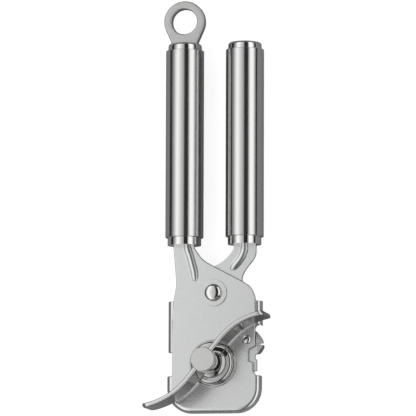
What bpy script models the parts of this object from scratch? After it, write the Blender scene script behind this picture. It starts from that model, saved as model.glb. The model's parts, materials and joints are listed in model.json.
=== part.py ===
"""Manual can opener with a small lid-lifting pliers grip, lying on its back.

Metres, +Z up, +Y along the handles towards the hanging ring, +X towards the right arm.
Everything is laid out from the pivot rivet: X and Y from its axis, Z from the plane
where the two arm plates meet. One empty carries that layout to the object's own origin,
which is the middle of the rectangle it lies in, at the level of the table under it.
Each moving body has an empty on its joint's axis.
"""

import math

import bmesh
import bpy
from mathutils import Matrix, Vector

MM = 0.001

# Clearances
GAP = 0.3 * MM                      # between pieces that touch in the real opener
RUNNING_GAP = 0.4 * MM              # round whatever slides or swings through a cut-out
OPENING_ANGLE = math.radians(8)     # how far the right arm swings out

# Handles
TUBE_RADIUS = 9.2 * MM
TUBE_WALL = 0.8 * MM
TUBE_LENGTH = 90.9 * MM
TUBE_START = 26.9 * MM              # lower rim, measured from the pivot
TUBE_SPACING = 29.5 * MM            # between the two tubes' axes
TUBE_CHAMFER = 0.35 * MM
PLUG_DEPTH = 8.0 * MM               # how far caps and ferrules go into the tubes
CAP_HEIGHT = 3.5 * MM
CAP_ROUNDING = 1.6 * MM
FERRULE_HEIGHT = 3.7 * MM
FERRULE_ROUNDING = 1.2 * MM

# Hanging ring
RING_RADIUS = 10.0 * MM
RING_HOLE_RADIUS = 6.2 * MM
RING_THICKNESS = 5.0 * MM
RING_CHAMFER = 0.5 * MM
RING_ABOVE_CAP = 10.8 * MM          # its centre above the cap's face
RING_FOOT_WIDTH = 12.3 * MM
RING_FOOT_DEPTH = 3.0 * MM          # sunk into the cap

# Arm plates
PLATE_THICKNESS = 2.0 * MM
PLATE_HALF_WIDTH = 20.3 * MM
BEND_RADIUS = 2.6 * MM              # outside of a bend
BEND_STEPS = 4
FLANGE_DEPTH = 4.5 * MM             # from the rear plate's front face to the flange's edge
SKIRT_DEPTH = 5.0 * MM              # from the front plate's face to the skirt's edge
SKIRT_START = -39.8 * MM
SKIRT_BOTTOM = -57.7 * MM
SKIRT_CORNER = 12.0 * MM
LEFT_FLANGE = (-3.6 * MM, -28.2 * MM)
RIGHT_FLANGE = (-3.8 * MM, -18.6 * MM)
SHAFT_BOSS_RADIUS = 10.5 * MM       # round lower end of the rear plate, about the shaft
SHAFT_BOSS_ARC = (215, 325)         # degrees from +X between its two side tabs
TAB_STEP = 0.4 * MM                 # how far its side tabs stand out
TAB_ABOVE_SHAFT = 2.0 * MM
TAB_BELOW_SHAFT = 3.6 * MM
TANG_LENGTH = 14.0 * MM             # of each plate's neck inside its tube
LEFT_NECK_WIDTH = 10.2 * MM
LEFT_NECK_OFFSET = 0.15 * MM        # of the left neck from its tube's axis, towards the middle
RIGHT_NECK_WIDTH = 11.0 * MM
RIB_WIDTH = 3.9 * MM
RIB_HEIGHT = 1.0 * MM

# Pivot
PIVOT_SHANK_RADIUS = 3.0 * MM
PIVOT_DOME_RADIUS = 4.25 * MM
PIVOT_DOME_HEIGHT = 2.1 * MM
PIVOT_WASHER_RADIUS = 6.5 * MM
PIVOT_WASHER_THICKNESS = 0.5 * MM
SPRING_WASHER_RADIUS = 5.6 * MM
SPRING_WASHER_THICKNESS = 0.6 * MM
SPRING_WASHER_SPLIT = 1.2 * MM
REAR_WASHER_THICKNESS = 0.7 * MM
PIVOT_TAIL_RADIUS = 4.6 * MM
PIVOT_TAIL_HEIGHT = 1.0 * MM

# Drive: turning key, shaft and feed wheel
SHAFT_Y = -34.0 * MM
SHAFT_RADIUS = 4.0 * MM
SHAFT_HEAD_RADIUS = 5.65 * MM
SHAFT_HEAD_THICKNESS = 1.2 * MM
SHAFT_HEAD_CHAMFER = 0.3 * MM
SHAFT_END_RADIUS = 3.0 * MM
KEY_HEIGHT = 20.4 * MM
KEY_SLEEVE_RADIUS = 5.95 * MM
KEY_SLEEVE_FOOT = 6.9 * MM
KEY_FLARE_HEIGHT = 4.5 * MM
KEY_FLARE_STEPS = 4
WING_THICKNESS = 2.3 * MM
WING_ANGLE = 50.5                   # degrees from +X where a wing leaves the hub
WING_STRAIGHT = 12.5 * MM           # from the shaft's axis to where the wing starts to curve
WING_BEND_RADIUS = 34.5 * MM
WING_TURN = 39.8                    # degrees it has turned by its tip
WING_CORNER = 3.6 * MM              # rounding of its outer corners, seen from the side
WING_CORNER_START = 65              # degrees: where that rounding meets the flat edges
COLLAR_HEIGHT = 4.3 * MM
COLLAR_RADIUS = 10.4 * MM
COLLAR_BEAD_RADIUS = 1.8 * MM
COLLAR_BEAD_ARC = (90, -60)         # degrees: from the bead's top, round its outer side
COLLAR_NECK_RADIUS = 7.0 * MM
COLLAR_WAIST = (0.35 * MM, 0.6 * MM)    # how far the bead's root stands out and hangs below the neck
COVER_WASHER_RADIUS = 11.4 * MM
COVER_WASHER_THICKNESS = 0.9 * MM
COVER_WASHER_CHAMFER = 0.25 * MM
BUSH_RADIUS = 5.5 * MM
BUSH_FLANGE_RADIUS = 7.5 * MM
BUSH_FLANGE_THICKNESS = 0.8 * MM
FEED_WHEEL_THICKNESS = 2.4 * MM
FEED_TEETH = 40
FEED_TOOTH_DEPTH = 0.6 * MM
TOOTH_TIP, TOOTH_ROOT = 0.25, 0.75  # where they lie, as shares of a tooth's pitch
FEED_WASHER_RADIUS = 7.0 * MM
FEED_WASHER_THICKNESS = 0.7 * MM
NUT_ACROSS_CORNERS = 11.5 * MM
NUT_THICKNESS = 1.8 * MM

# Cutter
CUTTER_INSET = 4.0 * MM             # its axle from the plate's right side
CUTTER_Y = -22.7 * MM
AXLE_RADIUS = 1.5 * MM
AXLE_DOME_RADIUS = 2.4 * MM
AXLE_DOME_HEIGHT = 1.5 * MM
CUTTER_RADIUS = 5.5 * MM
CUTTER_THICKNESS = 1.5 * MM
CUTTER_BUSH_WALL = 0.5 * MM
CUTTER_WASHER_RADIUS = 3.0 * MM
CUTTER_WASHER_THICKNESS = 0.5 * MM
AXLE_TAIL_RADIUS = 2.3 * MM
AXLE_TAIL_HEIGHT = 0.4 * MM
BLADE_BEVEL = 1.6 * MM              # how far the ground bevel runs in from the edge
BLADE_EDGE = 0.3 * MM
CUTTER_NIP = 0.45 * MM              # left between cutter and feed wheel when closed

# Lid pliers
JAW_RADIUS = 5.5 * MM
JAW_CENTRE_Y = -25.0 * MM
JAW_REACH = 4.1 * MM                # beyond the plate's side
JAW_OPENING = 0.9 * MM
LOWER_JAW_SETBACK = 1.1 * MM        # further out than the upper jaw, where the rear plate is wider
CUT_OUT_DEPTH = 3.4 * MM
CUT_OUT_SLANT = 1.8 * MM
RELIEF_DEPTH = 1.1 * MM             # of the shallow step in the right side below the cut-out

# Roundness
ROUND_STEPS = 32
SMALL_ROUND_STEPS = 20
MERGE_DISTANCE = 0.00001

# Worked out from the sizes above
TUBE_X = TUBE_SPACING / 2
TUBE_END = TUBE_START + TUBE_LENGTH
PLUG_RADIUS = TUBE_RADIUS - TUBE_WALL - GAP
CAP_TOP = TUBE_END + CAP_HEIGHT
RING_CENTRE_Y = CAP_TOP + RING_ABOVE_CAP
FRONT_FACE = PLATE_THICKNESS
REAR_PLATE_TOP = -GAP
REAR_PLATE_BOTTOM = REAR_PLATE_TOP - PLATE_THICKNESS
CUTTER_X = PLATE_HALF_WIDTH - CUTTER_INSET
LEFT_NECK_X = -TUBE_X + LEFT_NECK_OFFSET
NECK_FOOT = TUBE_START - FERRULE_HEIGHT
COVER_TOP = FRONT_FACE + GAP + COVER_WASHER_THICKNESS
COLLAR_TOP = COVER_TOP + GAP + COLLAR_HEIGHT
KEY_BOTTOM = COLLAR_TOP + GAP
KEY_TOP = KEY_BOTTOM + KEY_HEIGHT
HEAD_BOTTOM = KEY_TOP - SHAFT_HEAD_THICKNESS
BUSH_BOTTOM = REAR_PLATE_BOTTOM - GAP - BUSH_FLANGE_THICKNESS
FEED_WHEEL_TOP = BUSH_BOTTOM - GAP
FEED_WASHER_TOP = FEED_WHEEL_TOP - FEED_WHEEL_THICKNESS - GAP
NUT_TOP = FEED_WASHER_TOP - FEED_WASHER_THICKNESS - GAP
NUT_BOTTOM = NUT_TOP - NUT_THICKNESS
REST_DEPTH = max(TUBE_RADIUS, -NUT_BOTTOM)
CUTTER_TO_SHAFT = math.hypot(CUTTER_X, CUTTER_Y - SHAFT_Y)
FEED_WHEEL_RADIUS = CUTTER_TO_SHAFT - CUTTER_RADIUS - CUTTER_NIP
PIVOT_Y = -(RING_CENTRE_Y + RING_RADIUS + SKIRT_BOTTOM) / 2
JAW_CENTRE_X = PLATE_HALF_WIDTH + JAW_REACH - JAW_RADIUS


def start_empty_scene():
    for item in list(bpy.data.objects):
        bpy.data.objects.remove(item, do_unlink=True)
    parts = bpy.data.collections.new("can_opener")
    tools = bpy.data.collections.new("cutting_and_joining_tools")
    for collection in (parts, tools):
        bpy.context.scene.collection.children.link(collection)
    return parts, tools


PARTS, TOOLS = start_empty_scene()


def steel(name, colour, roughness):
    material = bpy.data.materials.new(name)
    material.use_nodes = True
    shader = material.node_tree.nodes["Principled BSDF"]
    shader.inputs["Base Color"].default_value = (*colour, 1)
    shader.inputs["Roughness"].default_value = roughness
    shader.inputs["Metallic"].default_value = 1
    return material


SATIN_STEEL = steel("satin_steel", (0.62, 0.63, 0.62), 0.42)
TUBE_STEEL = steel("tube_steel", (0.60, 0.60, 0.60), 0.22)
POLISHED_STEEL = steel("polished_steel", (0.66, 0.66, 0.65), 0.08)
BLADE_STEEL = steel("blade_steel", (0.50, 0.51, 0.52), 0.25)


def empty(name, location, parent=None):
    item = bpy.data.objects.new(name, None)
    PARTS.objects.link(item)
    item.location = location
    item.parent = parent
    return item


def put(item, material, parent, location=(0, 0, 0), rotation=(0, 0, 0)):
    """Links a finished object into the opener, with its finish and its place."""
    PARTS.objects.link(item)
    item.data.materials.append(material)
    item.parent = parent
    item.location = location
    item.rotation_euler = rotation
    return item


def put_tool(item, parent, location=(0, 0, 0), rotation=(0, 0, 0)):
    """Links a cutter or a shape to be joined on, which is not itself a piece."""
    TOOLS.objects.link(item)
    item.parent = parent
    item.location = location
    item.rotation_euler = rotation
    item.hide_render = True
    item.display_type = "WIRE"
    return item


def boolean(item, tool, operation):
    modifier = item.modifiers.new(operation.lower() + "_" + tool.name, "BOOLEAN")
    modifier.operation = operation
    modifier.object = tool


def cut(item, tool):
    boolean(item, tool, "DIFFERENCE")


def join(item, tool):
    boolean(item, tool, "UNION")


def turned_object(name, profile, steps=ROUND_STEPS):
    """A turned shape from (radius, height) points that run down its outer side."""
    points = [(radius, 0, height) for radius, height in profile]
    edges = [(i, i + 1) for i in range(len(points) - 1)]
    if profile[0][0] > 0:
        edges.append((len(points) - 1, 0))
    mesh = bpy.data.meshes.new(name)
    mesh.from_pydata(points, edges, [])
    item = bpy.data.objects.new(name, mesh)
    screw = item.modifiers.new("turning", "SCREW")
    screw.axis = "Z"
    screw.steps = screw.render_steps = steps
    screw.use_merge_vertices = True
    screw.merge_threshold = MERGE_DISTANCE
    screw.use_smooth_shade = True
    return item


def ring_profile(inner, outer, top, thickness, chamfer=0.1 * MM):
    """A washer's section, with its outer edges chamfered."""
    bottom = top - thickness
    return [
        (inner, top),
        (outer - chamfer, top),
        (outer, top - chamfer),
        (outer, bottom + chamfer),
        (outer - chamfer, bottom),
        (inner, bottom),
    ]


def dome(radius, height, base, steps=5):
    """Points of a spherical cap, from its crown down to its rim."""
    sphere = (radius**2 + height**2) / (2 * height)
    half_angle = math.asin(min(1, radius / sphere))
    centre = base + height - sphere
    angles = [half_angle * i / steps for i in range(steps + 1)]
    return [(sphere * math.sin(a), centre + sphere * math.cos(a)) for a in angles]


def arc(centre, radius, start, end, steps):
    """Points along an arc, with both ends, angles in degrees."""
    angles = [math.radians(start + (end - start) * i / steps) for i in range(steps + 1)]
    return [(centre[0] + radius * math.cos(a), centre[1] + radius * math.sin(a)) for a in angles]


def circle(radius, steps):
    """Points round a circle about the origin, each once."""
    return arc((0, 0), radius, 0, 360, steps)[:-1]


def smooth(points, steps=4):
    """A Catmull-Rom curve through points given in millimetres, as points in metres."""
    padded = [points[0], *points, points[-1]]
    curve = []
    for before, start, end, after in zip(padded, padded[1:], padded[2:], padded[3:]):
        for step in range(steps):
            t = step / steps
            curve.append(tuple(
                MM * 0.5 * (2 * p1 + (p2 - p0) * t + (2 * p0 - 5 * p1 + 4 * p2 - p3) * t**2
                            + (3 * p1 - p0 - 3 * p2 + p3) * t**3)
                for p0, p1, p2, p3 in zip(before, start, end, after)))
    curve.append((points[-1][0] * MM, points[-1][1] * MM))
    return curve


def swung(point, angle):
    """Where a point lands when it turns clockwise round the pivot, seen from the front."""
    x, y = point
    return (x * math.cos(angle) + y * math.sin(angle), y * math.cos(angle) - x * math.sin(angle))


def flat_object(name, loops, bottom, top, chamfer=0):
    """A flat piece from closed outlines: the first is its edge, the others are holes."""
    curve = bpy.data.curves.new(name, "CURVE")
    curve.dimensions = "2D"
    curve.fill_mode = "BOTH"
    curve.extrude = (top - bottom) / 2 - chamfer
    curve.bevel_depth = chamfer
    curve.bevel_resolution = 0
    curve.offset = -chamfer
    for loop in loops:
        spline = curve.splines.new("POLY")
        spline.points.add(len(loop) - 1)
        spline.use_cyclic_u = True
        for point, (x, y) in zip(spline.points, loop):
            point.co = (x, y, 0, 1)
    shape = bpy.data.objects.new(name, curve)
    item = mesh_of_curve(shape, name)
    item.data.transform(Matrix.Translation((0, 0, (top + bottom) / 2)))
    return item


def mesh_of_curve(shape, name):
    """Turns a curve object into a mesh object with its caps welded on."""
    TOOLS.objects.link(shape)
    graph = bpy.context.evaluated_depsgraph_get()
    mesh = bpy.data.meshes.new_from_object(shape.evaluated_get(graph))
    mesh.name = name
    work = bmesh.new()
    work.from_mesh(mesh)
    bmesh.ops.remove_doubles(work, verts=work.verts, dist=MERGE_DISTANCE)
    bmesh.ops.recalc_face_normals(work, faces=work.faces)
    work.to_mesh(mesh)
    work.free()
    curve = shape.data
    bpy.data.objects.remove(shape)
    bpy.data.curves.remove(curve)
    return bpy.data.objects.new(name, mesh)


def cylinder_tool(name, radius, bottom, top, steps=ROUND_STEPS):
    profile = [(0, top), (radius, top), (radius, bottom), (0, bottom)]
    return turned_object(name, profile, steps)


def box_tool(name, size, centre):
    mesh = bpy.data.meshes.new(name)
    work = bmesh.new()
    bmesh.ops.create_cube(work, size=1)
    bmesh.ops.scale(work, vec=size, verts=work.verts)
    bmesh.ops.translate(work, vec=centre, verts=work.verts)
    work.to_mesh(mesh)
    work.free()
    return bpy.data.objects.new(name, mesh)


def outward_normals(outline, run):
    """Mitred outward directions at the points of a run of a counter-clockwise outline."""
    sides = []
    for start, end in zip(run, run[1:]):
        along = (Vector(outline[end]) - Vector(outline[start])).normalized()
        sides.append(Vector((along.y, -along.x)))
    normals = [sides[0]]
    for left, right in zip(sides, sides[1:]):
        normals.append((left + right) / (1 + left.dot(right)))
    normals.append(sides[-1])
    return normals


def sheet_object(name, outline, face_height, bends):
    """A pressed steel plate: a flat outline with edge runs folded down to a given depth."""
    mesh = bpy.data.meshes.new(name)
    work = bmesh.new()
    flat = [work.verts.new((x, y, face_height)) for x, y in outline]
    work.faces.new(flat)
    folds = [math.radians(90) * i / BEND_STEPS for i in range(1, BEND_STEPS + 1)]
    section = [(BEND_RADIUS * math.sin(a), BEND_RADIUS * (1 - math.cos(a))) for a in folds]
    for first, last, depth in bends:
        run = list(range(first, last + 1))
        normals = outward_normals(outline, run)
        upper = [flat[i] for i in run]
        for out, down in [*section, (BEND_RADIUS, depth)]:
            lower = []
            for i, normal in zip(run, normals):
                spot = Vector(outline[i]) + normal * out
                lower.append(work.verts.new((spot.x, spot.y, face_height - down)))
            for j in range(len(run) - 1):
                work.faces.new((upper[j + 1], upper[j], lower[j], lower[j + 1]))
            upper = lower
    work.to_mesh(mesh)
    work.free()
    item = bpy.data.objects.new(name, mesh)
    wall = item.modifiers.new("sheet_thickness", "SOLIDIFY")
    wall.thickness = PLATE_THICKNESS
    wall.offset = -1
    wall.use_even_offset = True
    return item


def rib_tool(name, path, face_height):
    """A pressed stiffening rib: a flattened round bead along (x, y, fullness), in millimetres."""
    curve = bpy.data.curves.new(name, "CURVE")
    curve.dimensions = "3D"
    curve.bevel_depth = RIB_WIDTH / 2
    curve.bevel_resolution = 1
    curve.use_fill_caps = True
    spline = curve.splines.new("POLY")
    spline.points.add(len(path) - 1)
    for point, (x, y, fullness) in zip(spline.points, path):
        point.co = (x * MM, y * MM, 0, 1)
        point.radius = fullness
    item = mesh_of_curve(bpy.data.objects.new(name, curve), name)
    flatten = RIB_HEIGHT / (RIB_WIDTH / 2)
    for vertex in item.data.vertices:
        vertex.co.z = vertex.co.z * flatten + face_height
    return item


OPENER = empty("opener_layout", (0, PIVOT_Y, REST_DEPTH))
REAR_ARM = empty("rear_arm_axis", (0, 0, 0), OPENER)
DRIVE = empty("drive_axis", (0, SHAFT_Y, 0), REAR_ARM)
CUTTER = empty("cutter_axis", (CUTTER_X, CUTTER_Y, 0), OPENER)

ALONG_HANDLE = (-math.pi / 2, 0, 0)


# Handles: tubes, end caps, ferrules and the hanging ring

def handle_tube(side, x, parent):
    inner = TUBE_RADIUS - TUBE_WALL
    profile = [
        (inner, TUBE_LENGTH),
        (TUBE_RADIUS - TUBE_CHAMFER, TUBE_LENGTH),
        (TUBE_RADIUS, TUBE_LENGTH - TUBE_CHAMFER),
        (TUBE_RADIUS, TUBE_CHAMFER),
        (TUBE_RADIUS - TUBE_CHAMFER, 0),
        (inner, 0),
    ]
    tube = turned_object(side + "_handle_tube", profile)
    return put(tube, TUBE_STEEL, parent, (x, TUBE_START, 0), ALONG_HANDLE)


def end_cap(side, x, parent):
    """A plug in the tube's end whose head stands out with a rounded edge."""
    rim = arc((PLUG_RADIUS - CAP_ROUNDING, CAP_HEIGHT - CAP_ROUNDING), CAP_ROUNDING, 90, 0, 4)
    profile = [(0, CAP_HEIGHT), *rim, (PLUG_RADIUS, -PLUG_DEPTH), (0, -PLUG_DEPTH)]
    cap = turned_object(side + "_end_cap", profile)
    return put(cap, POLISHED_STEEL, parent, (x, TUBE_END, 0), ALONG_HANDLE)


def ferrule(side, x, parent, neck_width, neck_x, neck_bottom):
    """The plug at the tube's lower end, slotted for the plate's neck."""
    base = arc((PLUG_RADIUS - FERRULE_ROUNDING, -FERRULE_HEIGHT + FERRULE_ROUNDING),
               FERRULE_ROUNDING, 0, -90, 4)
    profile = [(0, PLUG_DEPTH), (PLUG_RADIUS, PLUG_DEPTH), *base, (0, -FERRULE_HEIGHT)]
    plug = turned_object(side + "_ferrule", profile)
    put(plug, POLISHED_STEEL, parent, (x, TUBE_START, 0), ALONG_HANDLE)
    slot_length = 2 * (PLUG_DEPTH + FERRULE_HEIGHT)
    slot = box_tool(side + "_neck_slot",
                    (neck_width + 2 * GAP, slot_length, PLATE_THICKNESS + 2 * GAP),
                    (neck_x, TUBE_START, neck_bottom + PLATE_THICKNESS / 2))
    cut(plug, put_tool(slot, parent))
    return plug


def hanging_ring(cap):
    """A flat ring whose stem widens to a foot sunk in the left end cap."""
    half_foot = RING_FOOT_WIDTH / 2
    reach = math.hypot(half_foot, RING_ABOVE_CAP)
    corner = math.degrees(math.atan2(-RING_ABOVE_CAP, half_foot))
    tangent = corner + math.degrees(math.acos(RING_RADIUS / reach))
    edge = arc((0, 0), RING_RADIUS, tangent, 180 - tangent, 28)
    foot_end = -RING_ABOVE_CAP - RING_FOOT_DEPTH
    edge += [(-half_foot, -RING_ABOVE_CAP), (-half_foot, foot_end)]
    edge += [(half_foot, foot_end), (half_foot, -RING_ABOVE_CAP)]
    hole = circle(RING_HOLE_RADIUS, 24)
    ring = flat_object("hanging_ring", [edge, hole], -RING_THICKNESS / 2, RING_THICKNESS / 2,
                       RING_CHAMFER)
    put(ring, SATIN_STEEL, OPENER, (-TUBE_X, RING_CENTRE_Y, 0))
    socket_depth = RING_FOOT_DEPTH + GAP
    socket = box_tool("ring_socket",
                      (RING_FOOT_WIDTH + 2 * GAP, 2 * socket_depth, RING_THICKNESS + 2 * GAP),
                      (-TUBE_X, CAP_TOP, 0))
    cut(cap, put_tool(socket, OPENER))


# Arm plates

def skirt_run():
    """The lower edge of the front plate, left to right, where the skirt folds down."""
    corner = SKIRT_CORNER - BEND_RADIUS
    bottom = SKIRT_BOTTOM + BEND_RADIUS
    middle_x = PLATE_HALF_WIDTH - corner
    left = arc((-middle_x, bottom + corner), corner, 180, 270, 8)
    right = arc((middle_x, bottom + corner), corner, 270, 360, 8)
    return [(-PLATE_HALF_WIDTH, SKIRT_START), *left, *right, (PLATE_HALF_WIDTH, SKIRT_START)]


def jaw_cut_out():
    """The notch in the front plate's right edge that the lower jaw swings through."""
    deep = PLATE_HALF_WIDTH - CUT_OUT_DEPTH
    jaw_inner = PLATE_HALF_WIDTH + GAP + LOWER_JAW_SETBACK
    jaw_low = JAW_CENTRE_Y - math.sqrt(JAW_RADIUS**2 - (jaw_inner - JAW_CENTRE_X) ** 2)
    lowest = swung((jaw_inner, jaw_low), OPENING_ANGLE)[1] - RUNNING_GAP
    top = JAW_CENTRE_Y - 2 * RUNNING_GAP
    relief = PLATE_HALF_WIDTH - RELIEF_DEPTH
    return [
        (PLATE_HALF_WIDTH, SKIRT_START + RELIEF_DEPTH / 2),
        (relief, SKIRT_START + 2 * RELIEF_DEPTH),
        (relief, lowest - RELIEF_DEPTH / 2),
        (deep, lowest),
        (deep, top - CUT_OUT_SLANT),
        (PLATE_HALF_WIDTH, top),
    ]


def front_outline():
    """Counter-clockwise, with the run that folds into the skirt."""
    neck_left = LEFT_NECK_X - LEFT_NECK_WIDTH / 2
    neck_right = LEFT_NECK_X + LEFT_NECK_WIDTH / 2
    tang_top = TUBE_START + TANG_LENGTH
    side, foot, near, far = (size / MM for size in (PLATE_HALF_WIDTH, NECK_FOOT, neck_right, neck_left))
    left = smooth([(far, foot - 1.8), (far + 0.7, 13.1), (1.9 - side, 6.3), (1.8 - side, 2.8),
                   (0.7 - side, -4.0), (-side, -13)])
    right = smooth([(side, -6.5), (side, -2.6), (side - 1.2, 0.8), (side - 3.3, 3.5), (11.9, 6.6),
                    (4.9, 10.3), (-2.1, 14.1), (near + 3.9, foot - 6.7), (near + 1.8, foot - 4.0),
                    (near, foot - 1.3)])
    skirt = skirt_run()
    first = 2 + len(left)
    outline = [(neck_right, tang_top), (neck_left, tang_top), *left, *skirt, *jaw_cut_out(), *right]
    return outline, (first, first + len(skirt) - 1)


def shaft_slot():
    """The curved slot in the front plate that the shaft's bush swings through."""
    radius = BUSH_RADIUS + RUNNING_GAP
    travel = math.degrees(OPENING_ANGLE)
    reach = -SHAFT_Y
    outer = arc((0, 0), reach + radius, 270 - travel, 270, 4)
    inner = arc((0, 0), reach - radius, 270, 270 - travel, 4)
    right_end = arc((0, SHAFT_Y), radius, 270, 450, 12)[1:-1]
    swung_x, swung_y = swung((0, SHAFT_Y), OPENING_ANGLE)
    left_end = arc((swung_x, swung_y), radius, 90 - travel, 270 - travel, 12)[1:-1]
    return [*outer, *right_end, *inner, *left_end]


def front_plate():
    outline, (first, last) = front_outline()
    plate = sheet_object("front_plate", outline, FRONT_FACE, [(first, last, SKIRT_DEPTH)])
    put(plate, SATIN_STEEL, OPENER)
    past = 2 * PLATE_THICKNESS
    neck, foot = LEFT_NECK_X / MM, NECK_FOOT / MM
    rib_path = [(neck + 1.7, foot - 2.2, 0.6), (neck + 3.0, 17.5, 1), (-10.4, 14, 1), (-9.6, 10.5, 1),
                (-9.2, 7.6, 0.85), (-9.1, 6.2, 0.4)]
    join(plate, put_tool(rib_tool("left_rib", rib_path, FRONT_FACE), OPENER))
    pivot = cylinder_tool("front_pivot_hole", PIVOT_SHANK_RADIUS + GAP, -past, past)
    cut(plate, put_tool(pivot, OPENER))
    axle = cylinder_tool("axle_hole", AXLE_RADIUS + GAP, -past, past, SMALL_ROUND_STEPS)
    cut(plate, put_tool(axle, CUTTER))
    slot = flat_object("shaft_travel", [shaft_slot()], -past, past)
    cut(plate, put_tool(slot, OPENER))


def rear_outline():
    """Counter-clockwise, with the runs that fold into the left and right flanges."""
    tang_top = TUBE_START + TANG_LENGTH
    neck_left = TUBE_X - RIGHT_NECK_WIDTH / 2
    neck_right = TUBE_X + RIGHT_NECK_WIDTH / 2
    side, foot, near, far = (size / MM for size in (PLATE_HALF_WIDTH, NECK_FOOT, neck_left, neck_right))
    left = smooth([(near, foot - 0.5), (near - 0.2, foot - 2.3), (near - 2.8, foot - 5.7), (3.7, 15.1),
                   (-4, 11), (-11, 7), (3.5 - side, 2)])
    right = smooth([(side - 2.5, 0), (14.2, 4), (13.5, 6.9), (14.5, 9.9), (far - 3.6, 13),
                    (far - 1.2, foot - 7.1), (far - 0.1, foot - 4.4), (far, foot - 0.5)])
    edge = PLATE_HALF_WIDTH + TAB_STEP
    inset = PLATE_HALF_WIDTH - TAB_STEP
    jaw_edge = PLATE_HALF_WIDTH + LOWER_JAW_SETBACK
    tab_low = SHAFT_Y - TAB_BELOW_SHAFT
    tab_high = SHAFT_Y + TAB_ABOVE_SHAFT
    jaw_low = JAW_CENTRE_Y - JAW_RADIUS + RELIEF_DEPTH
    boss = arc((0, SHAFT_Y), SHAFT_BOSS_RADIUS, *SHAFT_BOSS_ARC, 10)
    outline = [(neck_right, tang_top), (neck_left, tang_top), *left]
    first_left = len(outline)
    outline += [(-PLATE_HALF_WIDTH, LEFT_FLANGE[0]), (-PLATE_HALF_WIDTH, LEFT_FLANGE[1])]
    outline += [(-inset, LEFT_FLANGE[1] - TAB_STEP), (-inset, tab_high), (-edge, tab_high)]
    outline += [(-edge, tab_low), *boss, (edge, tab_low), (edge, tab_high), (inset, tab_high)]
    outline += [(inset, jaw_low - TAB_STEP), (jaw_edge, jaw_low)]
    outline += [(jaw_edge, JAW_CENTRE_Y - JAW_OPENING / 2)]
    first_right = len(outline)
    outline += [(PLATE_HALF_WIDTH, RIGHT_FLANGE[1]), (PLATE_HALF_WIDTH, RIGHT_FLANGE[0]), *right]
    return outline, first_left, first_right


def axle_notch():
    """Open notch in the rear plate's right side: the path of the cutter's axle."""
    radius = AXLE_RADIUS + RUNNING_GAP
    distance = math.hypot(CUTTER_X, CUTTER_Y)
    start = math.degrees(math.atan2(CUTTER_Y, CUTTER_X))
    past_edge = math.degrees(3 * radius / distance)
    end = start + math.degrees(OPENING_ANGLE) + past_edge
    outer = arc((0, 0), distance + radius, start, end, 4)
    inner = arc((0, 0), distance - radius, end, start, 4)
    back = arc((CUTTER_X, CUTTER_Y), radius, start + 180, start + 360, 10)[1:-1]
    return [*outer, *inner, *back]


def rear_plate():
    outline, left, right = rear_outline()
    plate = sheet_object("rear_plate", outline, REAR_PLATE_TOP,
                         [(left, left + 1, FLANGE_DEPTH), (right, right + 1, FLANGE_DEPTH)])
    put(plate, SATIN_STEEL, REAR_ARM)
    past = 3 * PLATE_THICKNESS
    rib_path = [(TUBE_X / MM - 0.3, NECK_FOOT / MM - 2.2, 0.6), (13.4, 18, 1), (11.9, 15.6, 1),
                (10.3, 13.7, 1), (8.9, 12.1, 0.8), (8.2, 11.3, 0.35)]
    join(plate, put_tool(rib_tool("right_rib", rib_path, REAR_PLATE_TOP), REAR_ARM))
    pivot = cylinder_tool("rear_pivot_hole", PIVOT_SHANK_RADIUS + GAP, -past, past)
    cut(plate, put_tool(pivot, REAR_ARM))
    shaft = cylinder_tool("bush_hole", BUSH_RADIUS + GAP, -past, past)
    cut(plate, put_tool(shaft, DRIVE))
    notch = flat_object("axle_travel", [axle_notch()], -past, past)
    cut(plate, put_tool(notch, REAR_ARM))


# Pivot

def pivot():
    hole = PIVOT_SHANK_RADIUS + GAP
    face_top = FRONT_FACE + GAP + PIVOT_WASHER_THICKNESS
    spring_top = REAR_PLATE_BOTTOM - GAP
    rear_top = spring_top - SPRING_WASHER_THICKNESS - GAP
    tail_top = rear_top - REAR_WASHER_THICKNESS - GAP
    tail = [(r, -z) for r, z in reversed(dome(PIVOT_TAIL_RADIUS, PIVOT_TAIL_HEIGHT, -tail_top, 3))]
    profile = [*dome(PIVOT_DOME_RADIUS, PIVOT_DOME_HEIGHT, face_top + GAP),
               (PIVOT_SHANK_RADIUS, face_top + GAP), (PIVOT_SHANK_RADIUS, tail_top), *tail]
    put(turned_object("pivot_rivet", profile), POLISHED_STEEL, OPENER)
    face = turned_object("pivot_face_washer",
                         ring_profile(hole, PIVOT_WASHER_RADIUS, face_top, PIVOT_WASHER_THICKNESS))
    put(face, SATIN_STEEL, OPENER)
    spring = turned_object("pivot_spring_washer",
                           ring_profile(hole, SPRING_WASHER_RADIUS, spring_top,
                                        SPRING_WASHER_THICKNESS))
    put(spring, SATIN_STEEL, OPENER)
    split = box_tool("spring_washer_split",
                     (2 * SPRING_WASHER_RADIUS, SPRING_WASHER_SPLIT, 4 * SPRING_WASHER_THICKNESS),
                     (SPRING_WASHER_RADIUS, 0, spring_top - SPRING_WASHER_THICKNESS / 2))
    cut(spring, put_tool(split, OPENER))
    rear = turned_object("pivot_rear_washer",
                         ring_profile(hole, PIVOT_WASHER_RADIUS, rear_top, REAR_WASHER_THICKNESS))
    put(rear, SATIN_STEEL, OPENER)


# Drive

def wing_centreline():
    """Half of the S: straight out of the hub, then one arc to the tip."""
    heading = math.radians(WING_ANGLE)
    start = Vector((math.cos(heading), math.sin(heading))) * WING_STRAIGHT
    centre = start + Vector((math.sin(heading), -math.cos(heading))) * WING_BEND_RADIUS
    bend = arc(centre, WING_BEND_RADIUS, WING_ANGLE + 90, WING_ANGLE + 90 - WING_TURN, 9)
    return [(0, 0), *bend]


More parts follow.
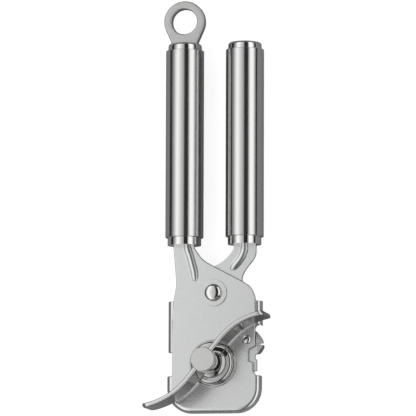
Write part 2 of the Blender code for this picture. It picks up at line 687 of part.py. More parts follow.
def wing_outline():
    """The S-shaped bar seen along the shaft, round at both tips."""
    half = wing_centreline()
    line = [(-x, -y) for x, y in reversed(half)] + half[1:]
    offsets = outward_normals(line, list(range(len(line))))
    radius = WING_THICKNESS / 2
    right_side = [(x + n.x * radius, y + n.y * radius) for (x, y), n in zip(line, offsets)]
    left_side = [(x - n.x * radius, y - n.y * radius) for (x, y), n in zip(line, offsets)]
    heading = math.degrees(math.atan2(line[-1][1] - line[-2][1], line[-1][0] - line[-2][0]))
    tip = arc(line[-1], radius, heading - 90, heading + 90, 6)[1:-1]
    tail = [(-x, -y) for x, y in tip]
    return [*right_side, *tip, *reversed(left_side), *tail]


def wing_ends():
    """A disc with a rounded rim: what the wings share with it has rounded outer corners."""
    tip = Vector(wing_centreline()[-1])
    centre = tip.length + WING_THICKNESS / 2 - WING_CORNER
    inset = WING_CORNER * math.sin(math.radians(WING_CORNER_START))
    start = (90 + WING_CORNER_START) / 2
    upper = arc((centre, KEY_TOP - inset), WING_CORNER, start, 0, 5)
    lower = arc((centre, KEY_BOTTOM + inset), WING_CORNER, 0, -start, 5)
    profile = [(0, upper[0][1]), *upper, *lower, (0, lower[-1][1])]
    return turned_object("wing_ends", profile, 3 * ROUND_STEPS)


def wing_key():
    """The S-shaped turning key with its sleeve round the shaft."""
    key = flat_object("wing_key", [wing_outline()], KEY_BOTTOM, KEY_TOP)
    put(key, POLISHED_STEEL, DRIVE)
    boolean(key, put_tool(wing_ends(), DRIVE), "INTERSECT")
    sleeve_top = HEAD_BOTTOM - GAP
    widening = KEY_SLEEVE_FOOT - KEY_SLEEVE_RADIUS
    shares = [step / KEY_FLARE_STEPS for step in range(KEY_FLARE_STEPS + 1)]
    flare = [(KEY_SLEEVE_RADIUS + widening * share**2, KEY_BOTTOM + KEY_FLARE_HEIGHT * (1 - share))
             for share in shares]
    sleeve = turned_object("key_sleeve", [(0, sleeve_top), (KEY_SLEEVE_RADIUS, sleeve_top), *flare,
                                          (0, KEY_BOTTOM)])
    join(key, put_tool(sleeve, DRIVE))
    bore = cylinder_tool("key_bore", SHAFT_RADIUS + GAP, 0, 2 * KEY_TOP)
    cut(key, put_tool(bore, DRIVE))
    recess = cylinder_tool("head_recess", SHAFT_HEAD_RADIUS + GAP, sleeve_top, 2 * KEY_TOP)
    cut(key, put_tool(recess, DRIVE))


def hub_collar():
    """Polished collar under the key: a short neck that swells into a round bead."""
    bottom = COLLAR_TOP - COLLAR_HEIGHT
    hole = SHAFT_RADIUS + GAP
    bead = (COLLAR_RADIUS - COLLAR_BEAD_RADIUS, bottom + COLLAR_BEAD_RADIUS)
    waist = (COLLAR_NECK_RADIUS + COLLAR_WAIST[0], COLLAR_TOP - COLLAR_WAIST[1])
    profile = [(hole, COLLAR_TOP), (COLLAR_NECK_RADIUS, COLLAR_TOP), waist,
               *arc(bead, COLLAR_BEAD_RADIUS, *COLLAR_BEAD_ARC, 8), (bead[0], bottom), (hole, bottom)]
    put(turned_object("hub_collar", profile), POLISHED_STEEL, DRIVE)


def cover_washer():
    section = ring_profile(SHAFT_RADIUS + GAP, COVER_WASHER_RADIUS, COVER_TOP, COVER_WASHER_THICKNESS,
                           COVER_WASHER_CHAMFER)
    put(turned_object("cover_washer", section), POLISHED_STEEL, DRIVE)


def shaft_bush():
    """Flanged bush in the rear plate: the shaft turns in it."""
    hole = SHAFT_RADIUS + GAP
    top = FRONT_FACE - GAP
    shoulder = REAR_PLATE_BOTTOM - GAP
    profile = [(hole, top), (BUSH_RADIUS, top), (BUSH_RADIUS, shoulder), (BUSH_FLANGE_RADIUS, shoulder),
               (BUSH_FLANGE_RADIUS, BUSH_BOTTOM), (hole, BUSH_BOTTOM)]
    put(turned_object("shaft_bush", profile), BLADE_STEEL, REAR_ARM, (0, SHAFT_Y, 0))


def feed_wheel():
    """The toothed wheel that drives the tin round under its rim."""
    root_radius = FEED_WHEEL_RADIUS - FEED_TOOTH_DEPTH
    edge = []
    for tooth in range(FEED_TEETH):
        for radius, share in ((FEED_WHEEL_RADIUS, TOOTH_TIP), (root_radius, TOOTH_ROOT)):
            angle = 2 * math.pi * (tooth + share) / FEED_TEETH
            edge.append((radius * math.cos(angle), radius * math.sin(angle)))
    bore = circle(SHAFT_RADIUS + GAP, 24)
    wheel = flat_object("feed_wheel", [edge, bore], FEED_WHEEL_TOP - FEED_WHEEL_THICKNESS, FEED_WHEEL_TOP)
    put(wheel, BLADE_STEEL, DRIVE)


def shaft_fasteners():
    """Washer and nut on the shaft's rear end."""
    section = ring_profile(SHAFT_RADIUS + GAP, FEED_WASHER_RADIUS, FEED_WASHER_TOP, FEED_WASHER_THICKNESS)
    put(turned_object("feed_wheel_washer", section), SATIN_STEEL, DRIVE)
    outline = [circle(NUT_ACROSS_CORNERS / 2, 6), circle(SHAFT_END_RADIUS + GAP, 18)]
    put(flat_object("shaft_nut", outline, NUT_BOTTOM, NUT_TOP), SATIN_STEEL, DRIVE)


def drive_shaft():
    """The shaft from its flat head in the key down to its end in the nut."""
    end = NUT_BOTTOM + GAP
    shoulder = NUT_TOP + GAP
    profile = [(0, KEY_TOP), (SHAFT_HEAD_RADIUS - SHAFT_HEAD_CHAMFER, KEY_TOP),
               (SHAFT_HEAD_RADIUS, KEY_TOP - SHAFT_HEAD_CHAMFER), (SHAFT_HEAD_RADIUS, HEAD_BOTTOM),
               (SHAFT_RADIUS, HEAD_BOTTOM), (SHAFT_RADIUS, shoulder), (SHAFT_END_RADIUS, shoulder),
               (SHAFT_END_RADIUS, end), (0, end)]
    put(turned_object("drive_shaft", profile), SATIN_STEEL, DRIVE)


# Cutter

def cutter():
    """The cutting wheel on its bush, between two washers on the axle rivet."""
    hole = AXLE_RADIUS + GAP
    bush_radius = hole + CUTTER_BUSH_WALL
    wheel_bore = bush_radius + GAP
    thrust_top = REAR_PLATE_TOP - FLANGE_DEPTH - GAP
    wheel_top = thrust_top - CUTTER_WASHER_THICKNESS - GAP
    wheel_bottom = wheel_top - CUTTER_THICKNESS
    retainer_top = wheel_bottom - GAP
    tail_top = retainer_top - CUTTER_WASHER_THICKNESS - GAP
    tail_bottom = tail_top - AXLE_TAIL_HEIGHT
    place = (CUTTER_X, CUTTER_Y, 0)
    for name, top in (("cutter_thrust_washer", thrust_top), ("cutter_retaining_washer", retainer_top)):
        section = ring_profile(hole, CUTTER_WASHER_RADIUS, top, CUTTER_WASHER_THICKNESS)
        put(turned_object(name, section, SMALL_ROUND_STEPS), SATIN_STEEL, OPENER, place)
    seat = FRONT_FACE + GAP
    profile = [*dome(AXLE_DOME_RADIUS, AXLE_DOME_HEIGHT, seat, 4), (AXLE_RADIUS, seat),
               (AXLE_RADIUS, tail_top), (AXLE_TAIL_RADIUS, tail_top), (AXLE_TAIL_RADIUS, tail_bottom),
               (0, tail_bottom)]
    put(turned_object("cutter_axle_rivet", profile, SMALL_ROUND_STEPS), POLISHED_STEEL, OPENER, place)
    section = ring_profile(hole, bush_radius, wheel_top, CUTTER_THICKNESS)
    put(turned_object("cutter_bush", section, SMALL_ROUND_STEPS), BLADE_STEEL, CUTTER)
    section = [(wheel_bore, wheel_top), (CUTTER_RADIUS - BLADE_BEVEL, wheel_top),
               (CUTTER_RADIUS, wheel_bottom + BLADE_EDGE), (CUTTER_RADIUS, wheel_bottom + BLADE_EDGE / 2),
               (CUTTER_RADIUS - BLADE_EDGE, wheel_bottom), (wheel_bore, wheel_bottom)]
    put(turned_object("cutting_wheel", section), BLADE_STEEL, CUTTER)


# Lid pliers

def jaw_outline(inner_x, grip_y, side):
    """A half-round jaw above (side 1) or below (side -1) the grip, from its root beside the plate."""
    grip = math.degrees(math.asin((grip_y - JAW_CENTRE_Y) / JAW_RADIUS))
    root = math.degrees(math.acos((inner_x - JAW_CENTRE_X) / JAW_RADIUS))
    return [(inner_x, grip_y), *arc((JAW_CENTRE_X, JAW_CENTRE_Y), JAW_RADIUS, grip, side * root, 8)]


def jaws():
    inner = PLATE_HALF_WIDTH + GAP
    upper = jaw_outline(inner, JAW_CENTRE_Y + JAW_OPENING / 2, 1)
    put(flat_object("upper_jaw", [upper], 0, FRONT_FACE), BLADE_STEEL, OPENER)
    lower = jaw_outline(inner + LOWER_JAW_SETBACK, JAW_CENTRE_Y - JAW_OPENING / 2, -1)
    put(flat_object("lower_jaw", [lower], REAR_PLATE_BOTTOM, FRONT_FACE), BLADE_STEEL, REAR_ARM)


def main():
    for side, x, parent in (("left", -TUBE_X, OPENER), ("right", TUBE_X, REAR_ARM)):
        handle_tube(side, x, parent)
    left_cap = end_cap("left", -TUBE_X, OPENER)
    end_cap("right", TUBE_X, REAR_ARM)
    ferrule("left", -TUBE_X, OPENER, LEFT_NECK_WIDTH, LEFT_NECK_X, 0)
    ferrule("right", TUBE_X, REAR_ARM, RIGHT_NECK_WIDTH, TUBE_X, REAR_PLATE_BOTTOM)
    hanging_ring(left_cap)
    front_plate()
    rear_plate()
    pivot()
    wing_key()
    hub_collar()
    cover_washer()
    shaft_bush()
    feed_wheel()
    shaft_fasteners()
    drive_shaft()
    cutter()
    jaws()


main()
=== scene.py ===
# %% [markdown]
# # A stainless steel can opener, seen from its front
#
# The opener lies on its back. Everything on it is steel, so there is no colour to tell its pieces
# apart: what makes it readable is how each piece was finished (bead blasted, brushed or polished),
# how its edges are rounded, and what the bright metal mirrors. This file builds fine meshes around the
# measured model, gives each finish its own material, and lights them with long soft boxes.

# %% Load the measured model
import json
import math

import bmesh
import bpy
from mathutils import Matrix, Vector


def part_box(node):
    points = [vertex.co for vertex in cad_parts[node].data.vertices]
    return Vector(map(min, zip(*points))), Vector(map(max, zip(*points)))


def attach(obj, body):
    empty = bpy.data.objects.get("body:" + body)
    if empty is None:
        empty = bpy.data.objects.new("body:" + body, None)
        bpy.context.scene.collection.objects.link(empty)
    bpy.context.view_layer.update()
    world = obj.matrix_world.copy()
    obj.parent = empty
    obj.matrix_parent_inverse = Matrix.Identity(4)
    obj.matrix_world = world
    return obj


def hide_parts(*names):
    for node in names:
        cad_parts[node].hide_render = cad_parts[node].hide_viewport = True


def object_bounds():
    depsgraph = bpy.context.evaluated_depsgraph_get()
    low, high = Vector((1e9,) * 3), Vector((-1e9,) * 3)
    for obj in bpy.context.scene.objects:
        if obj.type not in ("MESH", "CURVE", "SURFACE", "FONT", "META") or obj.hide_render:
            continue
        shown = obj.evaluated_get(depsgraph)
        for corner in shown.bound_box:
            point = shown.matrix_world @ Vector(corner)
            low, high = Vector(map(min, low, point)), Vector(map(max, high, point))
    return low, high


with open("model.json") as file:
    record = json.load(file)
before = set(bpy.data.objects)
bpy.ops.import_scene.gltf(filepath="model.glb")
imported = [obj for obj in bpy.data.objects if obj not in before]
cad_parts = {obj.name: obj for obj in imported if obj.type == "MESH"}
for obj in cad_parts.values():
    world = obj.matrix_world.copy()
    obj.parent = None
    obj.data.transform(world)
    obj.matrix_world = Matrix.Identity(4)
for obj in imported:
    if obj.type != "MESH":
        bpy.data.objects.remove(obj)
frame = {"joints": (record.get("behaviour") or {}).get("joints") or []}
cad_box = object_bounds()
MM = 0.001
print("size in mm:", [round((high - low) / MM, 1) for low, high in zip(*cad_box)])

# %% [markdown]
# ## Where things are
#
# Three axes carry the whole opener: the pivot rivet, the drive shaft and the cutter's axle. Reading
# them from the joints, and radii and heights from each piece's box, keeps the looks on the mechanism.

# %% Axes and sizes read from the frame
AXES = {joint["name"]: Vector(joint["pos_m"]) for joint in frame["joints"]}
PIVOT, SHAFT, AXLE = (AXES[name] for name in ("handles_open", "key_turn", "cutter_spin"))


def low(node):
    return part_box(node)[0]


def high(node):
    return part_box(node)[1]


def middle(node):
    return (low(node) + high(node)) / 2


def radius_of(node):
    """Half of a round piece's width."""
    return (high(node).x - low(node).x) / 2


GAP = 0.3 * MM  # between pieces that slide on each other
RUNNING_GAP = 0.4 * MM  # round whatever passes along a cut-out
SLIT = 0.12 * MM  # a hairline where pieces are pressed together
SHEET = 2.0 * MM  # thickness of both arm plates
FRONT_FACE = PIVOT.z + SHEET
REAR_FACE = PIVOT.z - GAP
BEND = 2.6 * MM  # outside radius of the folds
SIDE = high("front_plate").x - BEND  # half the width of the flat part of both plates
PIVOT_HOLE = 3.3 * MM  # radii of the holes in the plates and washers
SHAFT_HOLE = 4.3 * MM
AXLE_HOLE = 1.8 * MM
BUSH_RADIUS = 5.5 * MM
print("plates are flat to", round(SIDE / MM, 2), "mm each side")

# %% [markdown]
# ## Camera
#
# A long lens from two metres away keeps the handles almost parallel. It stands a little to
# the right of the opener and a little below it, so that tall pieces such as the key lean up and left.

# %% The camera
scene = bpy.context.scene
CAMERA_DISTANCE = 2.0
CAMERA_RIGHT = math.radians(11.3)
CAMERA_BELOW = math.radians(7.0)
CAMERA_ROLL = math.radians(0.19)
PICTURE_WIDTH = 0.2000  # metres across at the plate's face

target = PIVOT + Vector((-2.8 * MM, 41.0 * MM, SHEET))
backwards = Vector((math.tan(CAMERA_RIGHT), -math.tan(CAMERA_BELOW), 1)).normalized()
right = Vector((0, 1, 0)).cross(backwards).normalized()
up = backwards.cross(right)
turn = Matrix((right, up, backwards)).transposed() @ Matrix.Rotation(CAMERA_ROLL, 3, "Z")
lens = bpy.data.cameras.new("camera")
lens.sensor_width = 36
lens.lens = lens.sensor_width * CAMERA_DISTANCE / PICTURE_WIDTH
lens.clip_start = 0.05
camera = bpy.data.objects.new("camera", lens)
camera.matrix_world = Matrix.Translation(target + backwards * CAMERA_DISTANCE) @ turn.to_4x4()
scene.collection.objects.link(camera)
scene.camera = camera
print("lens in mm:", round(lens.lens, 1))

# %% [markdown]
# ## Light
#
# Polished tubes show nothing but the room, so the soft boxes are what gives them their stripes: a
# wide one on the left that fades towards the middle, a narrower one on the right, and a dark gap
# between them that draws the thin black line down each tube. A real soft box is brightest in its
# middle, so each is built from long strips of graded brightness, side by side round the opener. The
# room itself stays dim, and a little less so past the opener's two ends, where the boxes stop.

# %% Soft boxes
BOX_DISTANCE = 0.9  # metres
BOX_LENGTH = 2.5
BOX_SHIFT = -0.12  # the boxes reach further past the plates than past the ring
# (from, to, brightness): degrees from straight up towards +X
LEFT_BOX = [(-70, -58, 0.30), (-58, -49, 0.62), (-49, -41, 1.02), (-41, -29, 1.30),
            (-29, -21, 1.16), (-21, -13, 0.92), (-13, -5, 0.70), (-5, 3, 0.55), (3, 7, 0.34)]
RIGHT_BOX = [(31, 35, 0.30), (35, 41, 0.85), (41, 63, 1.32), (63, 70, 0.95), (70, 77, 0.45)]


def soft_strip(name, start, end, brightness):
    """One long strip of a soft box, filling the given angles as seen from the opener."""
    centre = math.radians((start + end) / 2)
    half = math.radians((end - start) / 2)
    light = bpy.data.lights.new(name, "AREA")
    light.shape = "RECTANGLE"
    light.size = 2 * BOX_DISTANCE * math.tan(half)
    light.size_y = BOX_LENGTH
    light.energy = brightness * math.pi * light.size * light.size_y
    item = bpy.data.objects.new(name, light)
    item.location = Vector((math.sin(centre), 0, math.cos(centre))) * BOX_DISTANCE
    item.location.y = BOX_SHIFT
    item.rotation_euler = (0, centre, 0)
    item.visible_camera = False
    scene.collection.objects.link(item)


for side, box in (("left", LEFT_BOX), ("right", RIGHT_BOX)):
    for number, strip in enumerate(box):
        soft_strip(f"{side}_strip_{number}", *strip)
    print(side, "soft box:", len(box), "strips")

# %% A dim room
ROOM_SIDES, ROOM_ENDS = 0.03, 0.16  # how bright it is beside the opener, and past its ends
ENDS_BEGIN = 0.7  # share of a direction that must lie along the handles


def dim_room():
    world = bpy.data.worlds.new("dim_room")
    world.use_nodes = True
    nodes, links = world.node_tree.nodes, world.node_tree.links
    background = nodes["Background"]
    background.inputs["Color"].default_value = (0.9, 0.95, 1.0, 1)
    direction = nodes.new("ShaderNodeTexCoord")
    split = nodes.new("ShaderNodeSeparateXYZ")
    along = nodes.new("ShaderNodeMath")
    along.operation = "ABSOLUTE"
    room = nodes.new("ShaderNodeMapRange")
    room.inputs["From Min"].default_value = ENDS_BEGIN
    room.inputs["To Min"].default_value = ROOM_SIDES
    room.inputs["To Max"].default_value = ROOM_ENDS
    links.new(direction.outputs["Generated"], split.inputs[0])
    links.new(split.outputs["Y"], along.inputs[0])
    links.new(along.outputs[0], room.inputs["Value"])
    links.new(room.outputs[0], background.inputs["Strength"])
    return world


scene.world = dim_room()
scene.view_settings.view_transform = "Standard"

# %% [markdown]
# ## Floor
#
# A white sweep under the opener. To the camera it is nearly white with a soft contact shadow. In the
# steel it shows as a plain light grey, because a bright floor would wash out the dark edges that
# make round steel look round.

# %% The floor
FLOOR_SIZE = 6  # metres
FLOOR_GLOW = 0.87  # what it gives off to the camera alone


def stage_floor():
    bpy.ops.mesh.primitive_plane_add(size=FLOOR_SIZE, location=(0, 0, cad_box[0].z - 0.2 * MM))
    floor = bpy.context.active_object
    floor.name = "floor"
    material = bpy.data.materials.new("floor_sweep")
    material.use_nodes = True
    nodes, links = material.node_tree.nodes, material.node_tree.links
    shader = nodes["Principled BSDF"]
    shader.inputs["Base Color"].default_value = (0.42, 0.42, 0.43, 1)
    shader.inputs["Roughness"].default_value = 0.9
    glow = nodes.new("ShaderNodeEmission")
    glow.inputs["Color"].default_value = (1, 1, 1, 1)
    glow.inputs["Strength"].default_value = FLOOR_GLOW
    both = nodes.new("ShaderNodeAddShader")
    seen = nodes.new("ShaderNodeMixShader")
    path = nodes.new("ShaderNodeLightPath")
    links.new(shader.outputs[0], both.inputs[0])
    links.new(glow.outputs[0], both.inputs[1])
    links.new(path.outputs["Is Camera Ray"], seen.inputs["Fac"])
    links.new(shader.outputs[0], seen.inputs[1])
    links.new(both.outputs[0], seen.inputs[2])
    links.new(seen.outputs[0], nodes["Material Output"].inputs["Surface"])
    floor.data.materials.append(material)


stage_floor()

# %% [markdown]
# ## Two effects that every finish shares
#
# No machined surface is even. *Grain* is the fine relief that a finish leaves: round specks from
# blasting with glass beads, or long scratches from a belt. *Handling* is much larger and softer: faint
# patches where fingers and cloths have touched the steel, which only change how sharp it mirrors. Both
# are node groups, so each finish places them with its own values.

# %% Node group: grain
def group_tree(name, inputs, outputs):
    """A node group with float or vector sockets: name -> default value."""
    tree = bpy.data.node_groups.new(name, "ShaderNodeTree")
    for label, value in inputs.items():
        kind = "NodeSocketVector" if isinstance(value, tuple) else "NodeSocketFloat"
        socket = tree.interface.new_socket(label, in_out="INPUT", socket_type=kind)
        socket.default_value = value
    for label, kind in outputs.items():
        tree.interface.new_socket(label, in_out="OUTPUT", socket_type=kind)
    return tree, tree.nodes.new("NodeGroupInput"), tree.nodes.new("NodeGroupOutput")


def grain_group():
    inputs = {"Scale": 900.0, "Stretch": (1.0, 1.0, 1.0), "Smoothest": 0.3, "Roughest": 0.4,
              "Relief": 0.1, "Depth": 0.00002}
    outputs = {"Roughness": "NodeSocketFloat", "Normal": "NodeSocketVector", "Mask": "NodeSocketFloat"}
    tree, given, made = group_tree("grain", inputs, outputs)
    nodes, links = tree.nodes, tree.links
    place = nodes.new("ShaderNodeTexCoord")
    stretch = nodes.new("ShaderNodeVectorMath")
    stretch.operation = "MULTIPLY"
    links.new(place.outputs["Object"], stretch.inputs[0])
    links.new(given.outputs["Stretch"], stretch.inputs[1])
    noise = nodes.new("ShaderNodeTexNoise")
    noise.inputs["Detail"].default_value = 4
    noise.inputs["Roughness"].default_value = 0.6
    links.new(stretch.outputs[0], noise.inputs["Vector"])
    links.new(given.outputs["Scale"], noise.inputs["Scale"])
    spread = nodes.new("ShaderNodeMapRange")
    spread.inputs["From Min"].default_value = 0.3
    spread.inputs["From Max"].default_value = 0.7
    links.new(noise.outputs["Fac"], spread.inputs["Value"])
    links.new(given.outputs["Smoothest"], spread.inputs["To Min"])
    links.new(given.outputs["Roughest"], spread.inputs["To Max"])
    bump = nodes.new("ShaderNodeBump")
    links.new(given.outputs["Relief"], bump.inputs["Strength"])
    links.new(given.outputs["Depth"], bump.inputs["Distance"])
    links.new(noise.outputs["Fac"], bump.inputs["Height"])
    links.new(spread.outputs["Result"], made.inputs["Roughness"])
    links.new(bump.outputs["Normal"], made.inputs["Normal"])
    links.new(noise.outputs["Fac"], made.inputs["Mask"])
    return tree


GRAIN = grain_group()

# %% Node group: handling
def handling_group():
    inputs = {"Roughness": 0.2, "Patch size": 0.02, "Amount": 0.05}
    tree, given, made = group_tree("handling", inputs, {"Roughness": "NodeSocketFloat"})
    nodes, links = tree.nodes, tree.links
    place = nodes.new("ShaderNodeTexCoord")
    scale = nodes.new("ShaderNodeMath")
    scale.operation = "DIVIDE"
    scale.inputs[0].default_value = 1
    links.new(given.outputs["Patch size"], scale.inputs[1])
    noise = nodes.new("ShaderNodeTexNoise")
    noise.inputs["Detail"].default_value = 3
    links.new(place.outputs["Object"], noise.inputs["Vector"])
    links.new(scale.outputs[0], noise.inputs["Scale"])
    centred = nodes.new("ShaderNodeMath")
    centred.operation = "SUBTRACT"
    centred.inputs[1].default_value = 0.5
    links.new(noise.outputs["Fac"], centred.inputs[0])
    added = nodes.new("ShaderNodeMath")
    added.operation = "MULTIPLY_ADD"
    links.new(centred.outputs[0], added.inputs[0])
    links.new(given.outputs["Amount"], added.inputs[1])
    links.new(given.outputs["Roughness"], added.inputs[2])
    links.new(added.outputs[0], made.inputs["Roughness"])
    return tree


HANDLING = handling_group()
print("groups:", GRAIN.name, HANDLING.name)

# %% [markdown]
# ## The finishes
#
# Each finish is a metallic Principled shader. Its colour is the steel's own, except on the key's flanks
# and the collar, and its grain and handling feed roughness and the normal. Two shades of the colour are
# mixed by the grain, so that even the plain plates are never one flat grey. The key's flanks and the
# collar get a darker steel of their own, which is painted shade for the shadow that their polish mirrors.

# %% A steel finish from its values
def steel(name, light, dark, scale, stretch, smoothest, roughest, relief, depth, patch, amount):
    """Two shades, the grain's scale, stretch, roughnesses and relief, then the handling's values."""
    material = bpy.data.materials.new(name)
    material.use_nodes = True
    nodes, links = material.node_tree.nodes, material.node_tree.links
    shader = nodes["Principled BSDF"]
    shader.inputs["Metallic"].default_value = 1
    grain = nodes.new("ShaderNodeGroup")
    grain.node_tree = GRAIN
    values = {"Scale": scale, "Stretch": stretch, "Smoothest": smoothest, "Roughest": roughest,
              "Relief": relief, "Depth": depth}
    for label, value in values.items():
        grain.inputs[label].default_value = value
    handling = nodes.new("ShaderNodeGroup")
    handling.node_tree = HANDLING
    handling.inputs["Patch size"].default_value = patch
    handling.inputs["Amount"].default_value = amount
    shades = nodes.new("ShaderNodeMix")
    shades.data_type = "RGBA"
    shades.inputs["A"].default_value = (*dark, 1)
    shades.inputs["B"].default_value = (*light, 1)
    links.new(grain.outputs["Mask"], shades.inputs["Factor"])
    links.new(shades.outputs["Result"], shader.inputs["Base Color"])
    links.new(grain.outputs["Roughness"], handling.inputs["Roughness"])
    links.new(handling.outputs["Roughness"], shader.inputs["Roughness"])
    links.new(grain.outputs["Normal"], shader.inputs["Normal"])
    return material


EVEN = (1.0, 1.0, 1.0)
LENGTHWISE = (1.0, 1.0, 0.012)  # grain drawn out along a piece's own axis
BLASTED = steel("bead_blasted_steel", (0.80, 0.81, 0.80), (0.69, 0.70, 0.69), 2600, EVEN,
                0.22, 0.30, 0.30, 0.00002, 0.03, 0.05)
RING_SATIN = steel("tumbled_ring_steel", (0.80, 0.80, 0.79), (0.40, 0.40, 0.39), 1150, EVEN,
                   0.30, 0.44, 0.50, 0.00005, 0.01, 0.06)
DISC_SATIN = steel("faced_disc_steel", (0.76, 0.76, 0.75), (0.67, 0.67, 0.66), 2200, EVEN,
                   0.36, 0.44, 0.25, 0.00002, 0.01, 0.05)
BRUSHED = steel("brushed_tube_steel", (0.72, 0.72, 0.71), (0.62, 0.62, 0.61), 1500, LENGTHWISE,
                0.10, 0.19, 0.12, 0.00001, 0.02, 0.05)
POLISHED = steel("mirror_polished_steel", (0.74, 0.74, 0.73), (0.70, 0.70, 0.69), 700, EVEN,
                 0.035, 0.07, 0.03, 0.00001, 0.008, 0.04)
# The collar's darker steel is painted shade: it darkens the collar and its cover washer for the shadowed
# key that they mirror.
COLLAR_PAINTED_SHADE = steel("polished_collar_steel_painted_shade", (0.56, 0.56, 0.55), (0.50, 0.50, 0.49), 700, EVEN,
                      0.05, 0.09, 0.03, 0.00001, 0.008, 0.04)
# The flanks' dark steel is painted shade, for the wing's shadow on the plate that the flanks mirror.
FLANK_PAINTED_SHADE = steel("polished_flank_steel_painted_shade", (0.29, 0.29, 0.28), (0.22, 0.22, 0.21), 900, EVEN,
              0.12, 0.18, 0.05, 0.00001, 0.01, 0.05)
WING_TOP = steel("linished_edge_steel", (0.80, 0.80, 0.79), (0.68, 0.68, 0.67), 1800, EVEN,
                 0.26, 0.36, 0.25, 0.00002, 0.008, 0.06)
GROUND = steel("ground_blade_steel", (0.60, 0.61, 0.62), (0.46, 0.47, 0.48), 1200, (1.0, 0.08, 1.0),
               0.20, 0.32, 0.25, 0.00002, 0.006, 0.08)
print("finishes:", [m.name for m in bpy.data.materials])

# %% [markdown]
# ## Shape helpers
#
# Most of the opener is turned on a lathe or pressed from sheet. A turned piece is a profile spun by a
# Screw modifier; a sheet piece is a flat outline with folded edges, given its thickness by Solidify.
# Both then get a Bevel, because a real edge always catches a thin line of light. Last, the modifiers
# are made into a plain mesh, shaded smooth, and a Weighted Normal modifier keeps broad faces flat.

# %% Outlines
def arc(centre, radius, start, end, steps):
    """Points along an arc, both ends included, angles in degrees."""
    angles = [math.radians(start + (end - start) * i / steps) for i in range(steps + 1)]
    return [(centre[0] + radius * math.cos(a), centre[1] + radius * math.sin(a)) for a in angles]


def circle(radius, steps):
    return arc((0, 0), radius, 0, 360, steps)[:-1]


def smooth(points, steps=12):
    """A Catmull-Rom curve through points given in millimetres, as points in metres."""
    padded = [points[0], *points, points[-1]]
    curve = []
    for before, start, end, after in zip(padded, padded[1:], padded[2:], padded[3:]):
        for step in range(steps):
            t = step / steps
            curve.append(tuple(
                MM * 0.5 * (2 * p1 + (p2 - p0) * t + (2 * p0 - 5 * p1 + 4 * p2 - p3) * t**2
                            + (3 * p1 - p0 - 3 * p2 + p3) * t**3)
                for p0, p1, p2, p3 in zip(before, start, end, after)))
    curve.append((points[-1][0] * MM, points[-1][1] * MM))
    return curve


def swung(point, angle):
    """Where a point lands when it turns clockwise round the pivot."""
    x, y = point
    return (x * math.cos(angle) + y * math.sin(angle), y * math.cos(angle) - x * math.sin(angle))


def side_normals(line):
    """Mitred directions to the right of a line of points."""
    sides = []
    for start, end in zip(line, line[1:]):
        along = (Vector(end) - Vector(start)).normalized()
        sides.append(Vector((along.y, -along.x)))
    turned_in = [(a + b) / (1 + a.dot(b)) for a, b in zip(sides, sides[1:])]
    return [sides[0], *turned_in, sides[-1]]


# %% From modifiers to a clean, smooth mesh
def link(name, mesh, place=(0, 0, 0), tilt=(0, 0, 0)):
    item = bpy.data.objects.new(name, mesh)
    item.location = place
    item.rotation_euler = tilt
    scene.collection.objects.link(item)
    return item


def link_work(name, work, place=(0, 0, 0)):
    mesh = bpy.data.meshes.new(name)
    work.to_mesh(mesh)
    work.free()
    return link(name, mesh, place)


def boolean(item, tool, operation):
    modifier = item.modifiers.new(operation.lower(), "BOOLEAN")
    modifier.operation = operation
    modifier.object = tool


def round_edges(item, width, segments=3, angle=40):
    bevel = item.modifiers.new("rounded_edges", "BEVEL")
    bevel.width = width
    bevel.segments = segments
    bevel.limit_method = "ANGLE"
    bevel.angle_limit = math.radians(angle)
    bevel.use_clamp_overlap = False


def settle(item, tools=(), sharp=35):
    """Makes the modifiers real, removes the tools, and shades the mesh smooth."""
    bpy.context.view_layer.update()
    graph = bpy.context.evaluated_depsgraph_get()
    mesh = bpy.data.meshes.new_from_object(item.evaluated_get(graph))
    mesh.name = item.name
    item.modifiers.clear()
    item.data = mesh
    mesh.shade_smooth()
    mesh.set_sharp_from_angle(angle=math.radians(sharp))
    weigh = item.modifiers.new("flat_faces_first", "WEIGHTED_NORMAL")
    weigh.keep_sharp = True
    for tool in tools:
        bpy.data.objects.remove(tool)
    return item


def dress(piece, finish, body, slot, *nodes):
    """Gives a piece its finish and its body, and lets it stand for its measured nodes."""
    piece.data.materials.clear()
    piece.data.materials.append(finish)
    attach(piece, body)
    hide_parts(*nodes)
    print(piece.name, len(piece.data.polygons), "faces")
    return piece


# %% Turned pieces
ALONG_HANDLE = (-math.pi / 2, 0, 0)
MERGE_DISTANCE = 0.001 * MM


def turned(name, profile, place, tilt=(0, 0, 0), steps=96):
    """(radius, height) points down the outer side; closed unless it starts on the axis."""
    points = [(radius, 0, height) for radius, height in profile]
    edges = [(i, i + 1) for i in range(len(points) - 1)]
    if profile[0][0] > 0:
        edges.append((len(points) - 1, 0))
    mesh = bpy.data.meshes.new(name)
    mesh.from_pydata(points, edges, [])
    item = link(name, mesh, place, tilt)
    screw = item.modifiers.new("turning", "SCREW")
    screw.steps = screw.render_steps = steps
    screw.use_merge_vertices = True
    screw.merge_threshold = MERGE_DISTANCE
    return item


def dome(radius, height, base, steps=14):
    """Points of a spherical cap, from its crown to its rim."""
    sphere = (radius**2 + height**2) / (2 * height)
    half_angle = math.asin(min(1, radius / sphere))
    centre = base + height - sphere
    angles = [half_angle * i / steps for i in range(steps + 1)]
    return [(sphere * math.sin(a), centre + sphere * math.cos(a)) for a in angles]


def full_dome(radius, height, base, fullness=2.5, steps=24):
    """A dome that stays flatter over its middle and turns down more sharply at its rim."""
    angles = [math.pi / 2 * i / steps for i in range(steps + 1)]
    return [(radius * math.sin(a) ** (2 / fullness), base + height * math.cos(a) ** (2 / fullness))
            for a in angles]


def washer_profile(hole, radius, top, bottom):
    return [(hole, top), (radius, top), (radius, bottom), (hole, bottom)]


